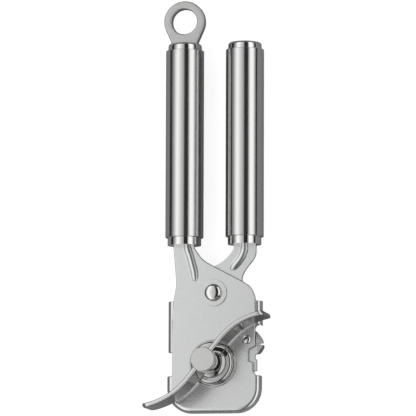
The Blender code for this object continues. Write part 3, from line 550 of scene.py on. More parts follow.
# %% Flat pieces
def slab(name, outline, bottom, top, place=(0, 0, 0)):
    """A flat piece with one outline: a face, pulled down to its thickness."""
    work = bmesh.new()
    face = work.faces.new([work.verts.new((x, y, top)) for x, y in outline])
    pulled = bmesh.ops.extrude_face_region(work, geom=[face])
    low_points = [v for v in pulled["geom"] if isinstance(v, bmesh.types.BMVert)]
    bmesh.ops.translate(work, verts=low_points, vec=(0, 0, bottom - top))
    bmesh.ops.recalc_face_normals(work, faces=work.faces)
    return link_work(name, work, place)


def pierced_slab(name, loops, bottom, top, place=(0, 0, 0), rounding=0.0, segments=3):
    """A flat piece with holes: a filled curve whose own bevel rounds every edge."""
    curve = bpy.data.curves.new(name, "CURVE")
    curve.dimensions = "2D"
    curve.fill_mode = "BOTH"
    curve.extrude = (top - bottom) / 2 - rounding
    curve.bevel_depth = rounding
    curve.bevel_resolution = segments
    curve.offset = -rounding
    for loop in loops:
        spline = curve.splines.new("POLY")
        spline.points.add(len(loop) - 1)
        spline.use_cyclic_u = True
        for point, (x, y) in zip(spline.points, loop):
            point.co = (x, y, 0, 1)
    shape = bpy.data.objects.new(name + "_outline", curve)
    scene.collection.objects.link(shape)
    graph = bpy.context.evaluated_depsgraph_get()
    mesh = bpy.data.meshes.new_from_object(shape.evaluated_get(graph))
    work = bmesh.new()
    work.from_mesh(mesh)
    bmesh.ops.remove_doubles(work, verts=work.verts, dist=MERGE_DISTANCE)
    bmesh.ops.recalc_face_normals(work, faces=work.faces)
    bmesh.ops.translate(work, verts=work.verts, vec=(0, 0, (top + bottom) / 2))
    work.to_mesh(mesh)
    work.free()
    bpy.data.objects.remove(shape)
    bpy.data.curves.remove(curve)
    return link(name, mesh, place)


# %% [markdown]
# ## Handle tubes
#
# Each handle is a length of thin tube with its rims eased so that they don't cut the hand. A turned
# wall is the natural way to make it: the section of the wall, spun round the handle's axis.

# %% The tubes
WALL = 0.8 * MM
TUBE_EASING = 0.3 * MM


def handle_tube(side, body):
    node = side + "_handle_tube"
    radius = radius_of(node)
    start, length = low(node).y, high(node).y - low(node).y
    profile = [(radius - WALL, length), (radius, length), (radius, 0), (radius - WALL, 0)]
    tube = turned(side + "_tube", profile, (middle(node).x, start, PIVOT.z), ALONG_HANDLE, 160)
    round_edges(tube, TUBE_EASING)
    return dress(settle(tube), BRUSHED, body, "tube_steel", node)


handle_tube("left", "front_arm")
handle_tube("right", "rear_arm")

# %% [markdown]
# ## End caps, ferrules and the hanging ring
#
# Polished plugs close both ends of each tube. The upper ones have a generous rounding; the lower
# ones are slotted for the necks of the plates. The ring's foot is sunk in the left cap, so its socket
# is cut with a Boolean, which keeps the cap one closed body.

# %% Plugs
def box_tool(name, size, centre):
    work = bmesh.new()
    bmesh.ops.create_cube(work, size=1)
    bmesh.ops.scale(work, vec=size, verts=work.verts)
    bmesh.ops.translate(work, vec=centre, verts=work.verts)
    return link_work(name, work)


def plug(name, node, body, tube_end, rounding, socket):
    """A plug from deep in the tube to its head, whose outer edge is rounded."""
    radius = radius_of(node)
    faces_up = high(node).y > tube_end
    inner, outer = sorted((low(node).y, high(node).y), reverse=not faces_up)
    length = abs(outer - inner)
    rim = arc((radius - rounding, length - rounding), rounding, 90, 0, 10)
    profile = [(0, length), *rim, (radius, 0), (0, 0)]
    tilt = ALONG_HANDLE if faces_up else (math.pi / 2, 0, 0)
    item = turned(name, profile, (middle(node).x, inner, PIVOT.z), tilt, 128)
    tools = []
    if socket:
        tools = [box_tool(name + "_socket", *socket)]
        boolean(item, tools[0], "DIFFERENCE")
    return dress(settle(item, tools), POLISHED, body, "polished_steel", node)


CAP_ROUNDING = 1.5 * MM
FERRULE_ROUNDING = 1.0 * MM
TUBE_TOP, TUBE_FOOT = high("left_handle_tube").y, low("left_handle_tube").y
CAP_FACE, FERRULE_FACE = high("left_end_cap").y, low("left_ferrule").y
RING_FOOT = 12.3 * MM
RING_THICKNESS = high("hanging_ring").z - low("hanging_ring").z
foot_depth = CAP_FACE - low("hanging_ring").y + SLIT
ring_socket = ((RING_FOOT + 2 * SLIT, 2 * foot_depth, RING_THICKNESS + 2 * SLIT),
               (middle("left_end_cap").x, CAP_FACE, PIVOT.z))
plug("left_cap", "left_end_cap", "front_arm", TUBE_TOP, CAP_ROUNDING, ring_socket)
plug("right_cap", "right_end_cap", "rear_arm", TUBE_TOP, CAP_ROUNDING, None)

LEFT_NECK = 10.2 * MM
RIGHT_NECK = 11.0 * MM
NECK_OFFSET = 0.15 * MM  # the left neck sits a little nearer the middle than its tube
LEFT_NECK_X = middle("left_handle_tube").x + NECK_OFFSET
RIGHT_NECK_X = middle("right_handle_tube").x
slot_length = 4 * (TUBE_FOOT - FERRULE_FACE)
for name, node, body, width, x, face in (
        ("left_collar_plug", "left_ferrule", "front_arm", LEFT_NECK, LEFT_NECK_X, FRONT_FACE),
        ("right_collar_plug", "right_ferrule", "rear_arm", RIGHT_NECK, RIGHT_NECK_X, REAR_FACE)):
    slot = ((width + 2 * SLIT, 2 * slot_length, SHEET + 2 * SLIT),
            (x, FERRULE_FACE, face - SHEET / 2))
    plug(name, node, body, TUBE_FOOT, FERRULE_ROUNDING, slot)

# %% The hanging ring
RING_HOLE = 6.2 * MM
RING_EASING = 0.7 * MM


def hanging_ring():
    node = "hanging_ring"
    radius = radius_of(node)
    centre = Vector((middle(node).x, high(node).y - radius, middle(node).z))
    half_foot = RING_FOOT / 2
    face = CAP_FACE - centre.y
    foot_end = low(node).y - centre.y
    corner = math.degrees(math.atan2(face, half_foot))
    tangent = corner + math.degrees(math.acos(radius / math.hypot(half_foot, face)))
    edge = arc((0, 0), radius, tangent, 180 - tangent, 96)
    edge += [(-half_foot, face), (-half_foot, foot_end), (half_foot, foot_end), (half_foot, face)]
    ring = pierced_slab("hanging_ring_piece", [edge, circle(RING_HOLE, 96)], -RING_THICKNESS / 2,
                        RING_THICKNESS / 2, centre, RING_EASING, 4)
    return dress(settle(ring), RING_SATIN, "front_arm", "satin_steel", node)


hanging_ring()

# %% [markdown]
# ## The two arm plates
#
# Both arms end in a plate pressed from 2 mm sheet. The front one folds back all round its lower end
# like a shallow cup; the rear one has a flange down each side. Modelling them as sheet, folding the
# outline's edge before giving it thickness, gives the folds the same even bend that a press makes.

# %% Folding a sheet
FOLD_STEPS = 10


def folded_sheet(name, outline, face_height, folds, easing, place):
    """A flat outline whose runs (first point, last point, depth) are folded down."""
    work = bmesh.new()
    flat = [work.verts.new((x, y, face_height)) for x, y in outline]
    work.faces.new(flat)
    angles = [math.radians(90) * i / FOLD_STEPS for i in range(1, FOLD_STEPS + 1)]
    section = [(BEND * math.sin(a), BEND * (1 - math.cos(a))) for a in angles]
    for first, last, depth in folds:
        run = outline[first:last + 1]
        upper = flat[first:last + 1]
        for out, down in [*section, (BEND, depth)]:
            lower = []
            for point, side in zip(run, side_normals(run)):
                spot = Vector(point) + side * out
                lower.append(work.verts.new((spot.x, spot.y, face_height - down)))
            for j in range(len(run) - 1):
                work.faces.new((upper[j + 1], upper[j], lower[j], lower[j + 1]))
            upper = lower
    item = link_work(name, work, place)
    wall = item.modifiers.new("sheet_thickness", "SOLIDIFY")
    wall.thickness = SHEET
    wall.offset = -1
    wall.use_even_offset = True
    round_edges(item, easing, 3, 50)
    return item


# %% Pressed ribs
RIB_WIDTH = 5.2 * MM
RIB_HEIGHT = 0.7 * MM
RIB_ROOT = 0.05 * MM  # how far its edges dip under the sheet's face
RIB_POINTS = 18


def pressed_rib(name, path, face_height, place):
    """A bell-shaped swelling along (x, y, fullness) points in millimetres, to be joined on."""
    track = smooth([(x, y) for x, y, _ in path])
    fullness = [share / MM for share, _ in smooth([(full, 0) for _, _, full in path])]
    work = bmesh.new()
    rings = []
    for (x, y), side, full in zip(track, side_normals(track), fullness):
        full = min(1, max(0.02, full))
        ring = []
        for i in range(RIB_POINTS + 1):
            across = 2 * i / RIB_POINTS - 1
            swell = math.cos(math.pi / 2 * across) ** 2
            spot = Vector((x, y)) + side * across * full * RIB_WIDTH / 2
            height = face_height - RIB_ROOT + (RIB_HEIGHT + RIB_ROOT) * swell * full
            ring.append(work.verts.new((spot.x, spot.y, height)))
        for i in (RIB_POINTS, 0):
            spot = ring[i].co
            ring.append(work.verts.new((spot.x, spot.y, face_height - SHEET / 2)))
        rings.append(ring)
    count = len(rings[0])
    for before, after in zip(rings, rings[1:]):
        for i in range(count):
            j = (i + 1) % count
            work.faces.new((before[i], before[j], after[j], after[i]))
    for ring in (rings[0], rings[-1]):
        work.faces.new(ring)
    bmesh.ops.recalc_face_normals(work, faces=work.faces)
    return link_work(name, work, place)


def hole_tool(name, outline, place):
    return slab(name, outline, -4 * SHEET, 4 * SHEET, place)


# %% [markdown]
# The front plate's outline follows its real edges: the neck out of the left ferrule, the broad
# shoulders, the deep rounded skirt, and on the right side the notch that the lower jaw swings
# through. A rib pressed along the neck stiffens it, and two holes and a curved slot let the
# mechanism through.

# %% The front plate's outline
OPENING = math.radians(8)  # how far the handles open
SHAFT_Y = SHAFT.y - PIVOT.y
AXLE_SPOT = (AXLE.x - PIVOT.x, AXLE.y - PIVOT.y)
NECK_FOOT = FERRULE_FACE - PIVOT.y
TANG_END = TUBE_FOOT + 14 * MM - PIVOT.y  # each neck runs 14 mm up inside its tube
SKIRT_BOTTOM = low("front_plate").y - PIVOT.y
SKIRT_START = -39.8 * MM
SKIRT_CORNER = 12.0 * MM - BEND
JAW_RADIUS = 5.5 * MM
JAW_CENTRE = (SIDE + 4.1 * MM - JAW_RADIUS, -25.0 * MM)
SETBACK = 1.1 * MM  # of the lower jaw, from the upper one
RELIEF = 1.1 * MM
CUT_OUT = (SIDE - 3.4 * MM, 1.8 * MM)  # where its inner edge lies, and its slant


def front_outline():
    left, right = LEFT_NECK_X - LEFT_NECK / 2, LEFT_NECK_X + LEFT_NECK / 2
    side, foot, near, far = (size / MM for size in (SIDE, NECK_FOOT, right, left))
    left_edge = smooth([(far, foot - 1.8), (far + 0.7, 13.1), (1.9 - side, 6.3), (1.8 - side, 2.8),
                        (0.7 - side, -4.0), (-side, -13)])
    right_edge = smooth([(side, -6.5), (side, -2.6), (side - 1.2, 0.8), (side - 3.3, 3.5),
                         (11.9, 6.6), (4.9, 10.3), (-2.1, 14.1), (near + 3.9, foot - 6.7),
                         (near + 1.8, foot - 4.0), (near, foot - 1.3)])
    bottom = SKIRT_BOTTOM + BEND + SKIRT_CORNER
    centre = SIDE - SKIRT_CORNER
    skirt = [(-SIDE, SKIRT_START), *arc((-centre, bottom), SKIRT_CORNER, 180, 270, 24),
             *arc((centre, bottom), SKIRT_CORNER, 270, 360, 24), (SIDE, SKIRT_START)]
    jaw_inner = SIDE + GAP + SETBACK
    jaw_low = JAW_CENTRE[1] - math.sqrt(JAW_RADIUS**2 - (jaw_inner - JAW_CENTRE[0]) ** 2)
    lowest = swung((jaw_inner, jaw_low), OPENING)[1] - RUNNING_GAP
    top = JAW_CENTRE[1] - 2 * RUNNING_GAP
    deep, slant = CUT_OUT
    relief = SIDE - RELIEF
    notch = [(SIDE, SKIRT_START + RELIEF / 2), (relief, SKIRT_START + 2 * RELIEF),
             (relief, lowest - RELIEF / 2), (deep, lowest), (deep, top - slant), (SIDE, top)]
    first = 2 + len(left_edge)
    outline = [(right, TANG_END), (left, TANG_END), *left_edge, *skirt, *notch, *right_edge]
    return outline, first, first + len(skirt) - 1


# %% The front plate with its rib and holes
SKIRT_DEPTH = 5.0 * MM
PLATE_EASING = 0.5 * MM


def bush_slot():
    """The curved slot that the shaft's bush swings through."""
    radius = BUSH_RADIUS + RUNNING_GAP
    travel = math.degrees(OPENING)
    outer = arc((0, 0), -SHAFT_Y + radius, 270 - travel, 270, 8)
    right_end = arc((0, SHAFT_Y), radius, 270, 450, 32)[1:-1]
    inner = arc((0, 0), -SHAFT_Y - radius, 270, 270 - travel, 8)
    left_end = arc(swung((0, SHAFT_Y), OPENING), radius, 90 - travel, 270 - travel, 32)[1:-1]
    return [*outer, *right_end, *inner, *left_end]


def front_plate():
    outline, first, last = front_outline()
    plate = folded_sheet("front_plate_sheet", outline, SHEET, [(first, last, SKIRT_DEPTH)],
                         PLATE_EASING, PIVOT)
    neck, foot = LEFT_NECK_X / MM, NECK_FOOT / MM
    rib = pressed_rib("neck_swelling", [(neck + 1.4, foot + 0.6, 0.85), (neck + 1.8, foot - 2.0, 1),
                                        (neck + 3.0, 17.5, 1), (-10.6, 14, 1), (-9.7, 10.5, 1),
                                        (-9.3, 7.8, 0.9), (-9.1, 6.4, 0.6), (-9.1, 5.6, 0.05)],
                      SHEET, PIVOT)
    tools = [rib, hole_tool("pivot_hole", circle(PIVOT_HOLE, 48), PIVOT),
             hole_tool("axle_hole", circle(AXLE_HOLE, 32), AXLE),
             hole_tool("bush_travel", bush_slot(), PIVOT)]
    boolean(plate, rib, "UNION")
    for tool in tools[1:]:
        boolean(plate, tool, "DIFFERENCE")
    return dress(settle(plate, tools, 30), BLASTED, "front_arm", "satin_steel", "front_plate")


front_plate()

# %% [markdown]
# The rear plate is made the same way, but only its two sides fold back, and its lower end is a round
# boss about the shaft with a small tab to each side.

# %% The rear plate's outline
BOSS_RADIUS = 10.5 * MM
TAB_STEP = 0.4 * MM  # how far the side tabs stand out
TAB_ABOVE, TAB_BELOW = 2.0 * MM, 3.6 * MM  # from the shaft's height
LEFT_FLANGE = (-3.6 * MM, -28.2 * MM)
RIGHT_FLANGE = (-3.8 * MM, -18.6 * MM)
JAW_GAP = 0.9 * MM  # between the two jaws


def rear_outline():
    left, right = RIGHT_NECK_X - RIGHT_NECK / 2, RIGHT_NECK_X + RIGHT_NECK / 2
    side, foot, near, far = (size / MM for size in (SIDE, NECK_FOOT, left, right))
    left_edge = smooth([(near, foot - 0.5), (near - 0.2, foot - 2.3), (near - 2.8, foot - 5.7),
                        (3.7, 15.1), (-4, 11), (-11, 7), (3.5 - side, 2)])
    right_edge = smooth([(side - 2.5, 0), (14.2, 4), (13.5, 6.9), (14.5, 9.9), (far - 3.6, 13),
                         (far - 1.2, foot - 7.1), (far - 0.1, foot - 4.4), (far, foot - 0.5)])
    inset, edge = SIDE - TAB_STEP, SIDE + TAB_STEP
    tab_high, tab_low = SHAFT_Y + TAB_ABOVE, SHAFT_Y - TAB_BELOW
    jaw_low = JAW_CENTRE[1] - JAW_RADIUS + RELIEF
    outline = [(right, TANG_END), (left, TANG_END), *left_edge]
    first_left = len(outline)
    outline += [(-SIDE, LEFT_FLANGE[0]), (-SIDE, LEFT_FLANGE[1]), (-inset, LEFT_FLANGE[1] - TAB_STEP),
                (-inset, tab_high), (-edge, tab_high), (-edge, tab_low)]
    outline += arc((0, SHAFT_Y), BOSS_RADIUS, 215, 325, 32)
    outline += [(edge, tab_low), (edge, tab_high), (inset, tab_high), (inset, jaw_low - TAB_STEP),
                (SIDE + SETBACK, jaw_low), (SIDE + SETBACK, JAW_CENTRE[1] - JAW_GAP / 2)]
    first_right = len(outline)
    outline += [(SIDE, RIGHT_FLANGE[1]), (SIDE, RIGHT_FLANGE[0]), *right_edge]
    return outline, first_left, first_right


# %% The rear plate with its rib and holes
AXLE_RADIUS = 1.5 * MM
FLANGE_DEPTH = 4.5 * MM
REAR_EASING = 0.25 * MM


def axle_notch():
    """The open notch that the cutter's axle passes along."""
    radius = AXLE_RADIUS + RUNNING_GAP
    distance = math.hypot(*AXLE_SPOT)
    start = math.degrees(math.atan2(AXLE_SPOT[1], AXLE_SPOT[0]))
    end = start + math.degrees(OPENING + 3 * radius / distance)
    outer = arc((0, 0), distance + radius, start, end, 8)
    inner = arc((0, 0), distance - radius, end, start, 8)
    back = arc(AXLE_SPOT, radius, start + 180, start + 360, 24)[1:-1]
    return [*outer, *inner, *back]


def rear_plate():
    outline, left, right = rear_outline()
    folds = [(first, first + 1, FLANGE_DEPTH) for first in (left, right)]
    height = REAR_FACE - PIVOT.z
    plate = folded_sheet("rear_plate_sheet", outline, height, folds, REAR_EASING, PIVOT)
    neck, foot = RIGHT_NECK_X / MM, NECK_FOOT / MM
    rib = pressed_rib("right_neck_swelling", [(neck - 0.3, foot + 0.6, 0.85), (neck - 0.4, foot - 2.2, 1),
                                              (13.4, 18, 1), (11.9, 15.6, 1), (10.3, 13.7, 1),
                                              (9.1, 12.3, 0.85), (8.3, 11.4, 0.5), (8.0, 11.1, 0.05)],
                      height, PIVOT)
    bush_spot = Vector((0, SHAFT_Y, 0)) + PIVOT
    tools = [rib, hole_tool("rear_pivot_hole", circle(PIVOT_HOLE, 48), PIVOT),
             hole_tool("bush_hole", circle(BUSH_RADIUS + GAP, 64), bush_spot),
             hole_tool("axle_travel", axle_notch(), PIVOT)]
    boolean(plate, rib, "UNION")
    for tool in tools[1:]:
        boolean(plate, tool, "DIFFERENCE")
    return dress(settle(plate, tools, 30), BLASTED, "rear_arm", "satin_steel", "rear_plate")


rear_plate()

# %% [markdown]
# ## Pivot
#
# One domed rivet holds the arms together over a thin face washer, with a split spring washer and a
# wide plain washer behind. All are turned about one axis, so each is a section and a spin.

# %% Rivet and washers of the pivot
def washer(name, node, hole, place, body, finish=DISC_SATIN, slot="satin_steel", easing=0.12 * MM):
    profile = washer_profile(hole, radius_of(node), high(node).z - place.z, low(node).z - place.z)
    item = turned(name, profile, place)
    round_edges(item, easing)
    return dress(settle(item), finish, body, slot, node)


RIVET_SHANK = 3.0 * MM
RIVET_DOME = 4.25 * MM  # its dome is undercut a little where it meets the washer
RIVET_UNDERCUT = 0.1 * MM
RIVET_TAIL = 4.6 * MM


def pivot_rivet():
    node = "pivot_rivet"
    top, bottom = high(node).z - PIVOT.z, low(node).z - PIVOT.z
    seat = high("pivot_face_washer").z - PIVOT.z + SLIT
    tail_seat = low("pivot_rear_washer").z - PIVOT.z - SLIT
    tail = [(r, -z) for r, z in reversed(dome(RIVET_TAIL, tail_seat - bottom, -tail_seat))]
    profile = [*full_dome(RIVET_DOME, top - seat, seat), (RIVET_DOME - RIVET_UNDERCUT, seat),
               (RIVET_SHANK, seat), (RIVET_SHANK, tail_seat), *tail]
    item = turned("pivot_rivet_domed", profile, PIVOT)
    return dress(settle(item), POLISHED, "front_arm", "polished_steel", node)


pivot_rivet()
washer("pivot_front_washer", "pivot_face_washer", PIVOT_HOLE, PIVOT, "front_arm", BLASTED)
washer("pivot_back_washer", "pivot_rear_washer", PIVOT_HOLE, PIVOT, "front_arm")

# %% The split spring washer
SPLIT_WIDTH = 1.2 * MM


def spring_washer():
    node = "pivot_spring_washer"
    radius = high(node).y - PIVOT.y
    outer = math.degrees(SPLIT_WIDTH / 2 / radius)
    inner = 1.6 * outer  # the same slit takes a wider angle nearer the axis
    edge = arc((0, 0), radius, outer, 360 - outer, 88) + arc((0, 0), PIVOT_HOLE, 360 - inner, inner, 88)
    item = slab("pivot_split_washer", edge, low(node).z - PIVOT.z, high(node).z - PIVOT.z, PIVOT)
    round_edges(item, 0.1 * MM, 2, 50)
    return dress(settle(item), DISC_SATIN, "front_arm", "satin_steel", node)


spring_washer()

# %% [markdown]
# ## Turning key
#
# The S-shaped key is one thick bar on edge. Its sleeve is polished like a mirror, its flanks are
# polished less, and its top edge is only linished, so it gets three materials, chosen face by face
# from where each face is and which way it looks. The flanks' steel is much darker than the rest: that is
# painted shade, for the shadow that the flanks mirror. The sleeve is joined on with a Boolean, and the
# flat head of the shaft sits inside it.

# %% The S-shaped bar
KEY_TOP, KEY_BOTTOM = high("wing_key").z - SHAFT.z, low("wing_key").z - SHAFT.z
WING_WIDTH = 2.3 * MM
WING_EASING = 0.75 * MM
WING_STRAIGHT = 12.5 * MM
WING_RADIUS = 34.5 * MM
WING_ANGLE, WING_TURN = 50.5, 39.8
WING_CORNER, CORNER_START = 3.6 * MM, 65


def wing_bend():
    """The curved stretch of one wing's middle line, out to its tip."""
    heading = math.radians(WING_ANGLE)
    start = Vector((math.cos(heading), math.sin(heading))) * WING_STRAIGHT
    centre = start + Vector((math.sin(heading), -math.cos(heading))) * WING_RADIUS
    return arc(centre, WING_RADIUS, WING_ANGLE + 90, WING_ANGLE + 90 - WING_TURN, 40)


def wing_outline():
    bend = wing_bend()
    line = [(-x, -y) for x, y in reversed(bend)] + [(0, 0)] + bend
    sides = side_normals(line)
    half = WING_WIDTH / 2
    one = [(x + n.x * half, y + n.y * half) for (x, y), n in zip(line, sides)]
    other = [(x - n.x * half, y - n.y * half) for (x, y), n in zip(line, sides)]
    ends = math.degrees(math.atan2(line[-1][1] - line[-2][1], line[-1][0] - line[-2][0]))
    tip = arc(line[-1], half, ends - 90, ends + 90, 16)[1:-1]
    tail = [(-x, -y) for x, y in tip]
    return [*one, *tip, *reversed(other), *tail]


def wing_ends():
    """A disc with a rounded rim, which the wings share, so that their outer corners are round."""
    reach = Vector(wing_bend()[-1]).length + WING_WIDTH / 2 - WING_CORNER
    inset = WING_CORNER * math.sin(math.radians(CORNER_START))
    first = (90 + CORNER_START) / 2
    upper = arc((reach, KEY_TOP - inset), WING_CORNER, first, 0, 14)
    lower = arc((reach, KEY_BOTTOM + inset), WING_CORNER, 0, -first, 14)
    profile = [(0, upper[0][1]), *upper, *lower, (0, lower[-1][1])]
    return turned("wing_ends", profile, SHAFT, steps=256)


# %% Key with its sleeve
HEAD_RADIUS, HEAD_DEPTH = 5.65 * MM, 1.2 * MM
RECESS_DEPTH = HEAD_DEPTH + GAP
SLEEVE_RADIUS, SLEEVE_FOOT, FLARE = 5.95 * MM, 6.9 * MM, 4.5 * MM
RIM_EASING = 0.3 * MM
FLARE_STEPS = 12
UPWARDS = 0.6  # a face whose normal rises more than this is top edge, not flank


def wing_key():
    node = "wing_key"
    key = pierced_slab("turning_key", [wing_outline()], KEY_BOTTOM, KEY_TOP, SHAFT, WING_EASING, 4)
    ends = wing_ends()
    boolean(key, ends, "INTERSECT")
    shares = [i / FLARE_STEPS for i in range(FLARE_STEPS + 1)]
    flare = [(SLEEVE_RADIUS + (SLEEVE_FOOT - SLEEVE_RADIUS) * t**2, KEY_BOTTOM + FLARE * (1 - t))
             for t in shares]
    shelf, above = KEY_TOP - RECESS_DEPTH, 2 * KEY_TOP
    rim = arc((SLEEVE_RADIUS - RIM_EASING, shelf - RIM_EASING), RIM_EASING, 90, 0, 6)
    sleeve = turned("key_sleeve", [(0, shelf), *rim, *flare, (0, KEY_BOTTOM)], SHAFT)
    bore = turned("key_bore", [(0, above), (SHAFT_HOLE, above), (SHAFT_HOLE, 0), (0, 0)], SHAFT)
    wide = HEAD_RADIUS + SLIT
    recess = turned("head_recess", [(0, above), (wide, above), (wide, shelf), (0, shelf)], SHAFT)
    boolean(key, sleeve, "UNION")
    for tool in (bore, recess):
        boolean(key, tool, "DIFFERENCE")
    settle(key, [ends, sleeve, bore, recess], 30)
    dress(key, POLISHED, "drive", "polished_steel", node)
    for finish in (WING_TOP, FLANK_PAINTED_SHADE):
        key.data.materials.append(finish)
    # Faces that look sideways get the flank steel, whose dark colour is painted shade.
    for face in key.data.polygons:
        if math.hypot(face.center.x, face.center.y) > SLEEVE_FOOT:
            face.material_index = 1 if face.normal.z > UPWARDS else 2
    return key


wing_key()

# %% Shaft, collar and cover washer
SHAFT_RADIUS, THREAD_RADIUS = 4.0 * MM, 3.0 * MM
COLLAR_NECK, COLLAR_BEAD = 7.0 * MM, 1.8 * MM
COLLAR_EASING = 0.1 * MM
COLLAR_WAIST = (0.35 * MM, 0.6 * MM)  # how far the bead's root stands out and hangs below the neck
COVER_EASING = 0.25 * MM


def drive_shaft():
    node = "drive_shaft"
    end = low(node).z - SHAFT.z
    nut_top = high("shaft_nut").z - SHAFT.z
    rim = arc((HEAD_RADIUS - RIM_EASING, KEY_TOP - RIM_EASING), RIM_EASING, 90, 0, 6)
    tail = arc((THREAD_RADIUS - RIM_EASING, end + RIM_EASING), RIM_EASING, 0, -90, 6)
    under_head, shoulder = KEY_TOP - HEAD_DEPTH, nut_top + GAP
    profile = [(0, KEY_TOP), *rim, (HEAD_RADIUS, under_head), (SHAFT_RADIUS, under_head),
               (SHAFT_RADIUS, shoulder), (THREAD_RADIUS, shoulder), *tail, (0, end)]
    item = turned("shaft_with_head", profile, SHAFT)
    return dress(settle(item), DISC_SATIN, "drive", "satin_steel", node)


def hub_collar():
    node = "hub_collar"
    top, bottom = high(node).z - SHAFT.z, low(node).z - SHAFT.z
    middle_of_bead = (radius_of(node) - COLLAR_BEAD, bottom + COLLAR_BEAD)
    waist = (COLLAR_NECK + COLLAR_WAIST[0], top - COLLAR_WAIST[1])
    profile = [(SHAFT_HOLE, top), (COLLAR_NECK - COLLAR_EASING, top), (COLLAR_NECK, top - COLLAR_EASING),
               waist, *arc(middle_of_bead, COLLAR_BEAD, 90, -60, 24), (middle_of_bead[0], bottom),
               (SHAFT_HOLE, bottom)]
    item = turned("bead_collar", profile, SHAFT, steps=128)
    # The collar's darker steel is painted shade.
    return dress(settle(item, sharp=50), COLLAR_PAINTED_SHADE, "drive", "polished_steel", node)


drive_shaft()
hub_collar()
# The cover washer shares the collar's darker steel, which is painted shade.
washer("collar_base_ring", "cover_washer", SHAFT_HOLE, SHAFT, "drive", COLLAR_PAINTED_SHADE,
       "polished_steel", COVER_EASING)

# %% [markdown]
# ## Feed wheel and nut
#
# Under the plates a toothed wheel grips the tin's rim. Its teeth are a zigzag outline, eased at the
# tips; the hexagon nut's corners are turned down to a cone, as they are on a real nut.

# %% Under the plates
TEETH, TOOTH_DEPTH = 40, 0.6 * MM
# one tooth's (depth, share of the pitch): two points on its tip, two in the gap beside it
TOOTH = [(0, 0.20), (0, 0.30), (TOOTH_DEPTH, 0.68), (TOOTH_DEPTH, 0.82)]
FINE_EASING = 0.08 * MM
NUT_CORNER, NUT_HOLE, NUT_CONE = 5.75 * MM, 3.2 * MM, 0.9 * MM


def feed_wheel():
    node = "feed_wheel"
    edge = []
    for tooth in range(TEETH):
        for depth, share in TOOTH:
            angle = 2 * math.pi * (tooth + share) / TEETH
            reach = radius_of(node) - depth
            edge.append((reach * math.cos(angle), reach * math.sin(angle)))
    wheel = pierced_slab("toothed_feed_wheel", [edge, circle(SHAFT_HOLE, 64)], low(node).z - SHAFT.z,
                         high(node).z - SHAFT.z, SHAFT, FINE_EASING, 1)
    return dress(settle(wheel), GROUND, "drive", "blade_steel", node)


def shaft_nut():
    node = "shaft_nut"
    top, bottom = high(node).z - SHAFT.z, low(node).z - SHAFT.z
    outline = [circle(NUT_CORNER, 6), circle(NUT_HOLE, 48)]
    nut = pierced_slab("hexagon_nut", outline, bottom, top, SHAFT)
    rest = NUT_CORNER * math.cos(math.pi / 6) - 0.2 * MM  # radius of the face it rests on
    clear = NUT_CORNER + MM
    cone = turned("nut_cone", [(0, top), (clear, top), (clear, bottom + NUT_CONE), (rest, bottom),
                               (0, bottom)], SHAFT)
    boolean(nut, cone, "INTERSECT")
    return dress(settle(nut, [cone], 25), DISC_SATIN, "drive", "satin_steel", node)


feed_wheel()
shaft_nut()
washer("feed_wheel_face_washer", "feed_wheel_washer", SHAFT_HOLE, SHAFT, "drive")

# %% The bush of the shaft
BUSH_HOLE, BUSH_FLANGE = 4.2 * MM, 7.5 * MM
BUSH_FLANGE_THICKNESS = 0.8 * MM
BUSH_EASING = 0.12 * MM


def shaft_bush():
    node = "shaft_bush"
    top, bottom = high(node).z - SHAFT.z, low(node).z - SHAFT.z
    shoulder = bottom + BUSH_FLANGE_THICKNESS
    profile = [(BUSH_HOLE, top), (BUSH_RADIUS, top), (BUSH_RADIUS, shoulder), (BUSH_FLANGE, shoulder),
               (BUSH_FLANGE, bottom), (BUSH_HOLE, bottom)]
    bush = turned("flanged_bush", profile, SHAFT)
    round_edges(bush, BUSH_EASING)
    return dress(settle(bush), GROUND, "rear_arm", "blade_steel", node)


shaft_bush()

# %% [markdown]
# ## Cutter
#
# The cutting wheel hangs behind the front plate on a small domed axle. Its one-sided bevel is ground,
# so it has a finish of its own, streaked across the edge.

# %% Cutting wheel, its axle and washers
AXLE_DOME, AXLE_TAIL, TAIL_HEIGHT = 2.4 * MM, 2.3 * MM, 0.4 * MM
TAIL_EASING = 0.1 * MM
WHEEL_BORE, WHEEL_BEVEL, WHEEL_EDGE = 2.6 * MM, 1.6 * MM, 0.08 * MM
CUTTER_HOLE = 1.7 * MM  # of the washers and the sleeve on the axle


def cutter_axle():
    node = "cutter_axle_rivet"
    top, bottom = high(node).z - AXLE.z, low(node).z - AXLE.z
    seat = SHEET + SLIT
    tail_top = bottom + TAIL_HEIGHT
    eased = AXLE_TAIL - TAIL_EASING
    profile = [*full_dome(AXLE_DOME, top - seat, seat), (AXLE_RADIUS, seat), (AXLE_RADIUS, tail_top),
               (eased, tail_top), (AXLE_TAIL, tail_top - TAIL_EASING), (eased, bottom), (0, bottom)]
    item = turned("domed_axle", profile, AXLE, steps=64)
    return dress(settle(item), POLISHED, "front_arm", "polished_steel", node)


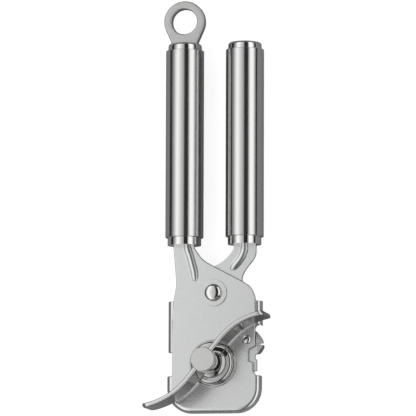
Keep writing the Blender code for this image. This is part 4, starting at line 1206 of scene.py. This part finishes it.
def cutting_wheel():
    node = "cutting_wheel"
    radius, top, bottom = radius_of(node), high(node).z - AXLE.z, low(node).z - AXLE.z
    profile = [(WHEEL_BORE, top), (radius - WHEEL_BEVEL, top), (radius, bottom + 2 * WHEEL_EDGE),
               (radius, bottom + WHEEL_EDGE), (radius - WHEEL_EDGE, bottom), (WHEEL_BORE, bottom)]
    wheel = turned("bevelled_cutting_wheel", profile, AXLE)
    return dress(settle(wheel, sharp=25), GROUND, "cutter", "blade_steel", node)


cutter_axle()
cutting_wheel()
for name, node in (("axle_thrust_washer", "cutter_thrust_washer"),
                   ("axle_end_washer", "cutter_retaining_washer")):
    washer(name, node, CUTTER_HOLE, AXLE, "front_arm", easing=FINE_EASING)
washer("cutter_sleeve", "cutter_bush", CUTTER_HOLE, AXLE, "cutter", GROUND, "blade_steel", FINE_EASING)

# %% [markdown]
# ## Lid pliers
#
# Two half-round jaws on the right side pinch a lid's edge. Fine ribs across them keep it from
# slipping; they are cut into the outline itself.

# %% The jaws
JAW_RIBS = 11
JAW_RIB_DEPTH = 0.18 * MM
STEPS_PER_RIB = 6
JAW_EASING = 0.15 * MM


def ribbed_jaw(name, node, inner_x, grip_y, side, body):
    grip = math.degrees(math.asin((grip_y - JAW_CENTRE[1]) / JAW_RADIUS))
    root = math.degrees(math.acos((inner_x - JAW_CENTRE[0]) / JAW_RADIUS))
    steps = STEPS_PER_RIB * JAW_RIBS
    outline = [(inner_x, grip_y)]
    for i in range(steps + 1):
        angle = math.radians(grip + (side * root - grip) * i / steps)
        valley = 0.5 - 0.5 * math.cos(2 * math.pi * i / STEPS_PER_RIB)
        reach = JAW_RADIUS - JAW_RIB_DEPTH * valley
        x, y = JAW_CENTRE
        outline.append((x + reach * math.cos(angle), y + reach * math.sin(angle)))
    if side < 0:
        outline.reverse()
    jaw = slab(name, outline, low(node).z - PIVOT.z, high(node).z - PIVOT.z, PIVOT)
    round_edges(jaw, JAW_EASING, 2, 60)
    return dress(settle(jaw, sharp=40), GROUND, body, "blade_steel", node)


upper_grip, lower_grip = JAW_CENTRE[1] + JAW_GAP / 2, JAW_CENTRE[1] - JAW_GAP / 2
ribbed_jaw("upper_ribbed_jaw", "upper_jaw", SIDE + GAP, upper_grip, 1, "front_arm")
ribbed_jaw("lower_ribbed_jaw", "lower_jaw", SIDE + GAP + SETBACK, lower_grip, -1, "rear_arm")
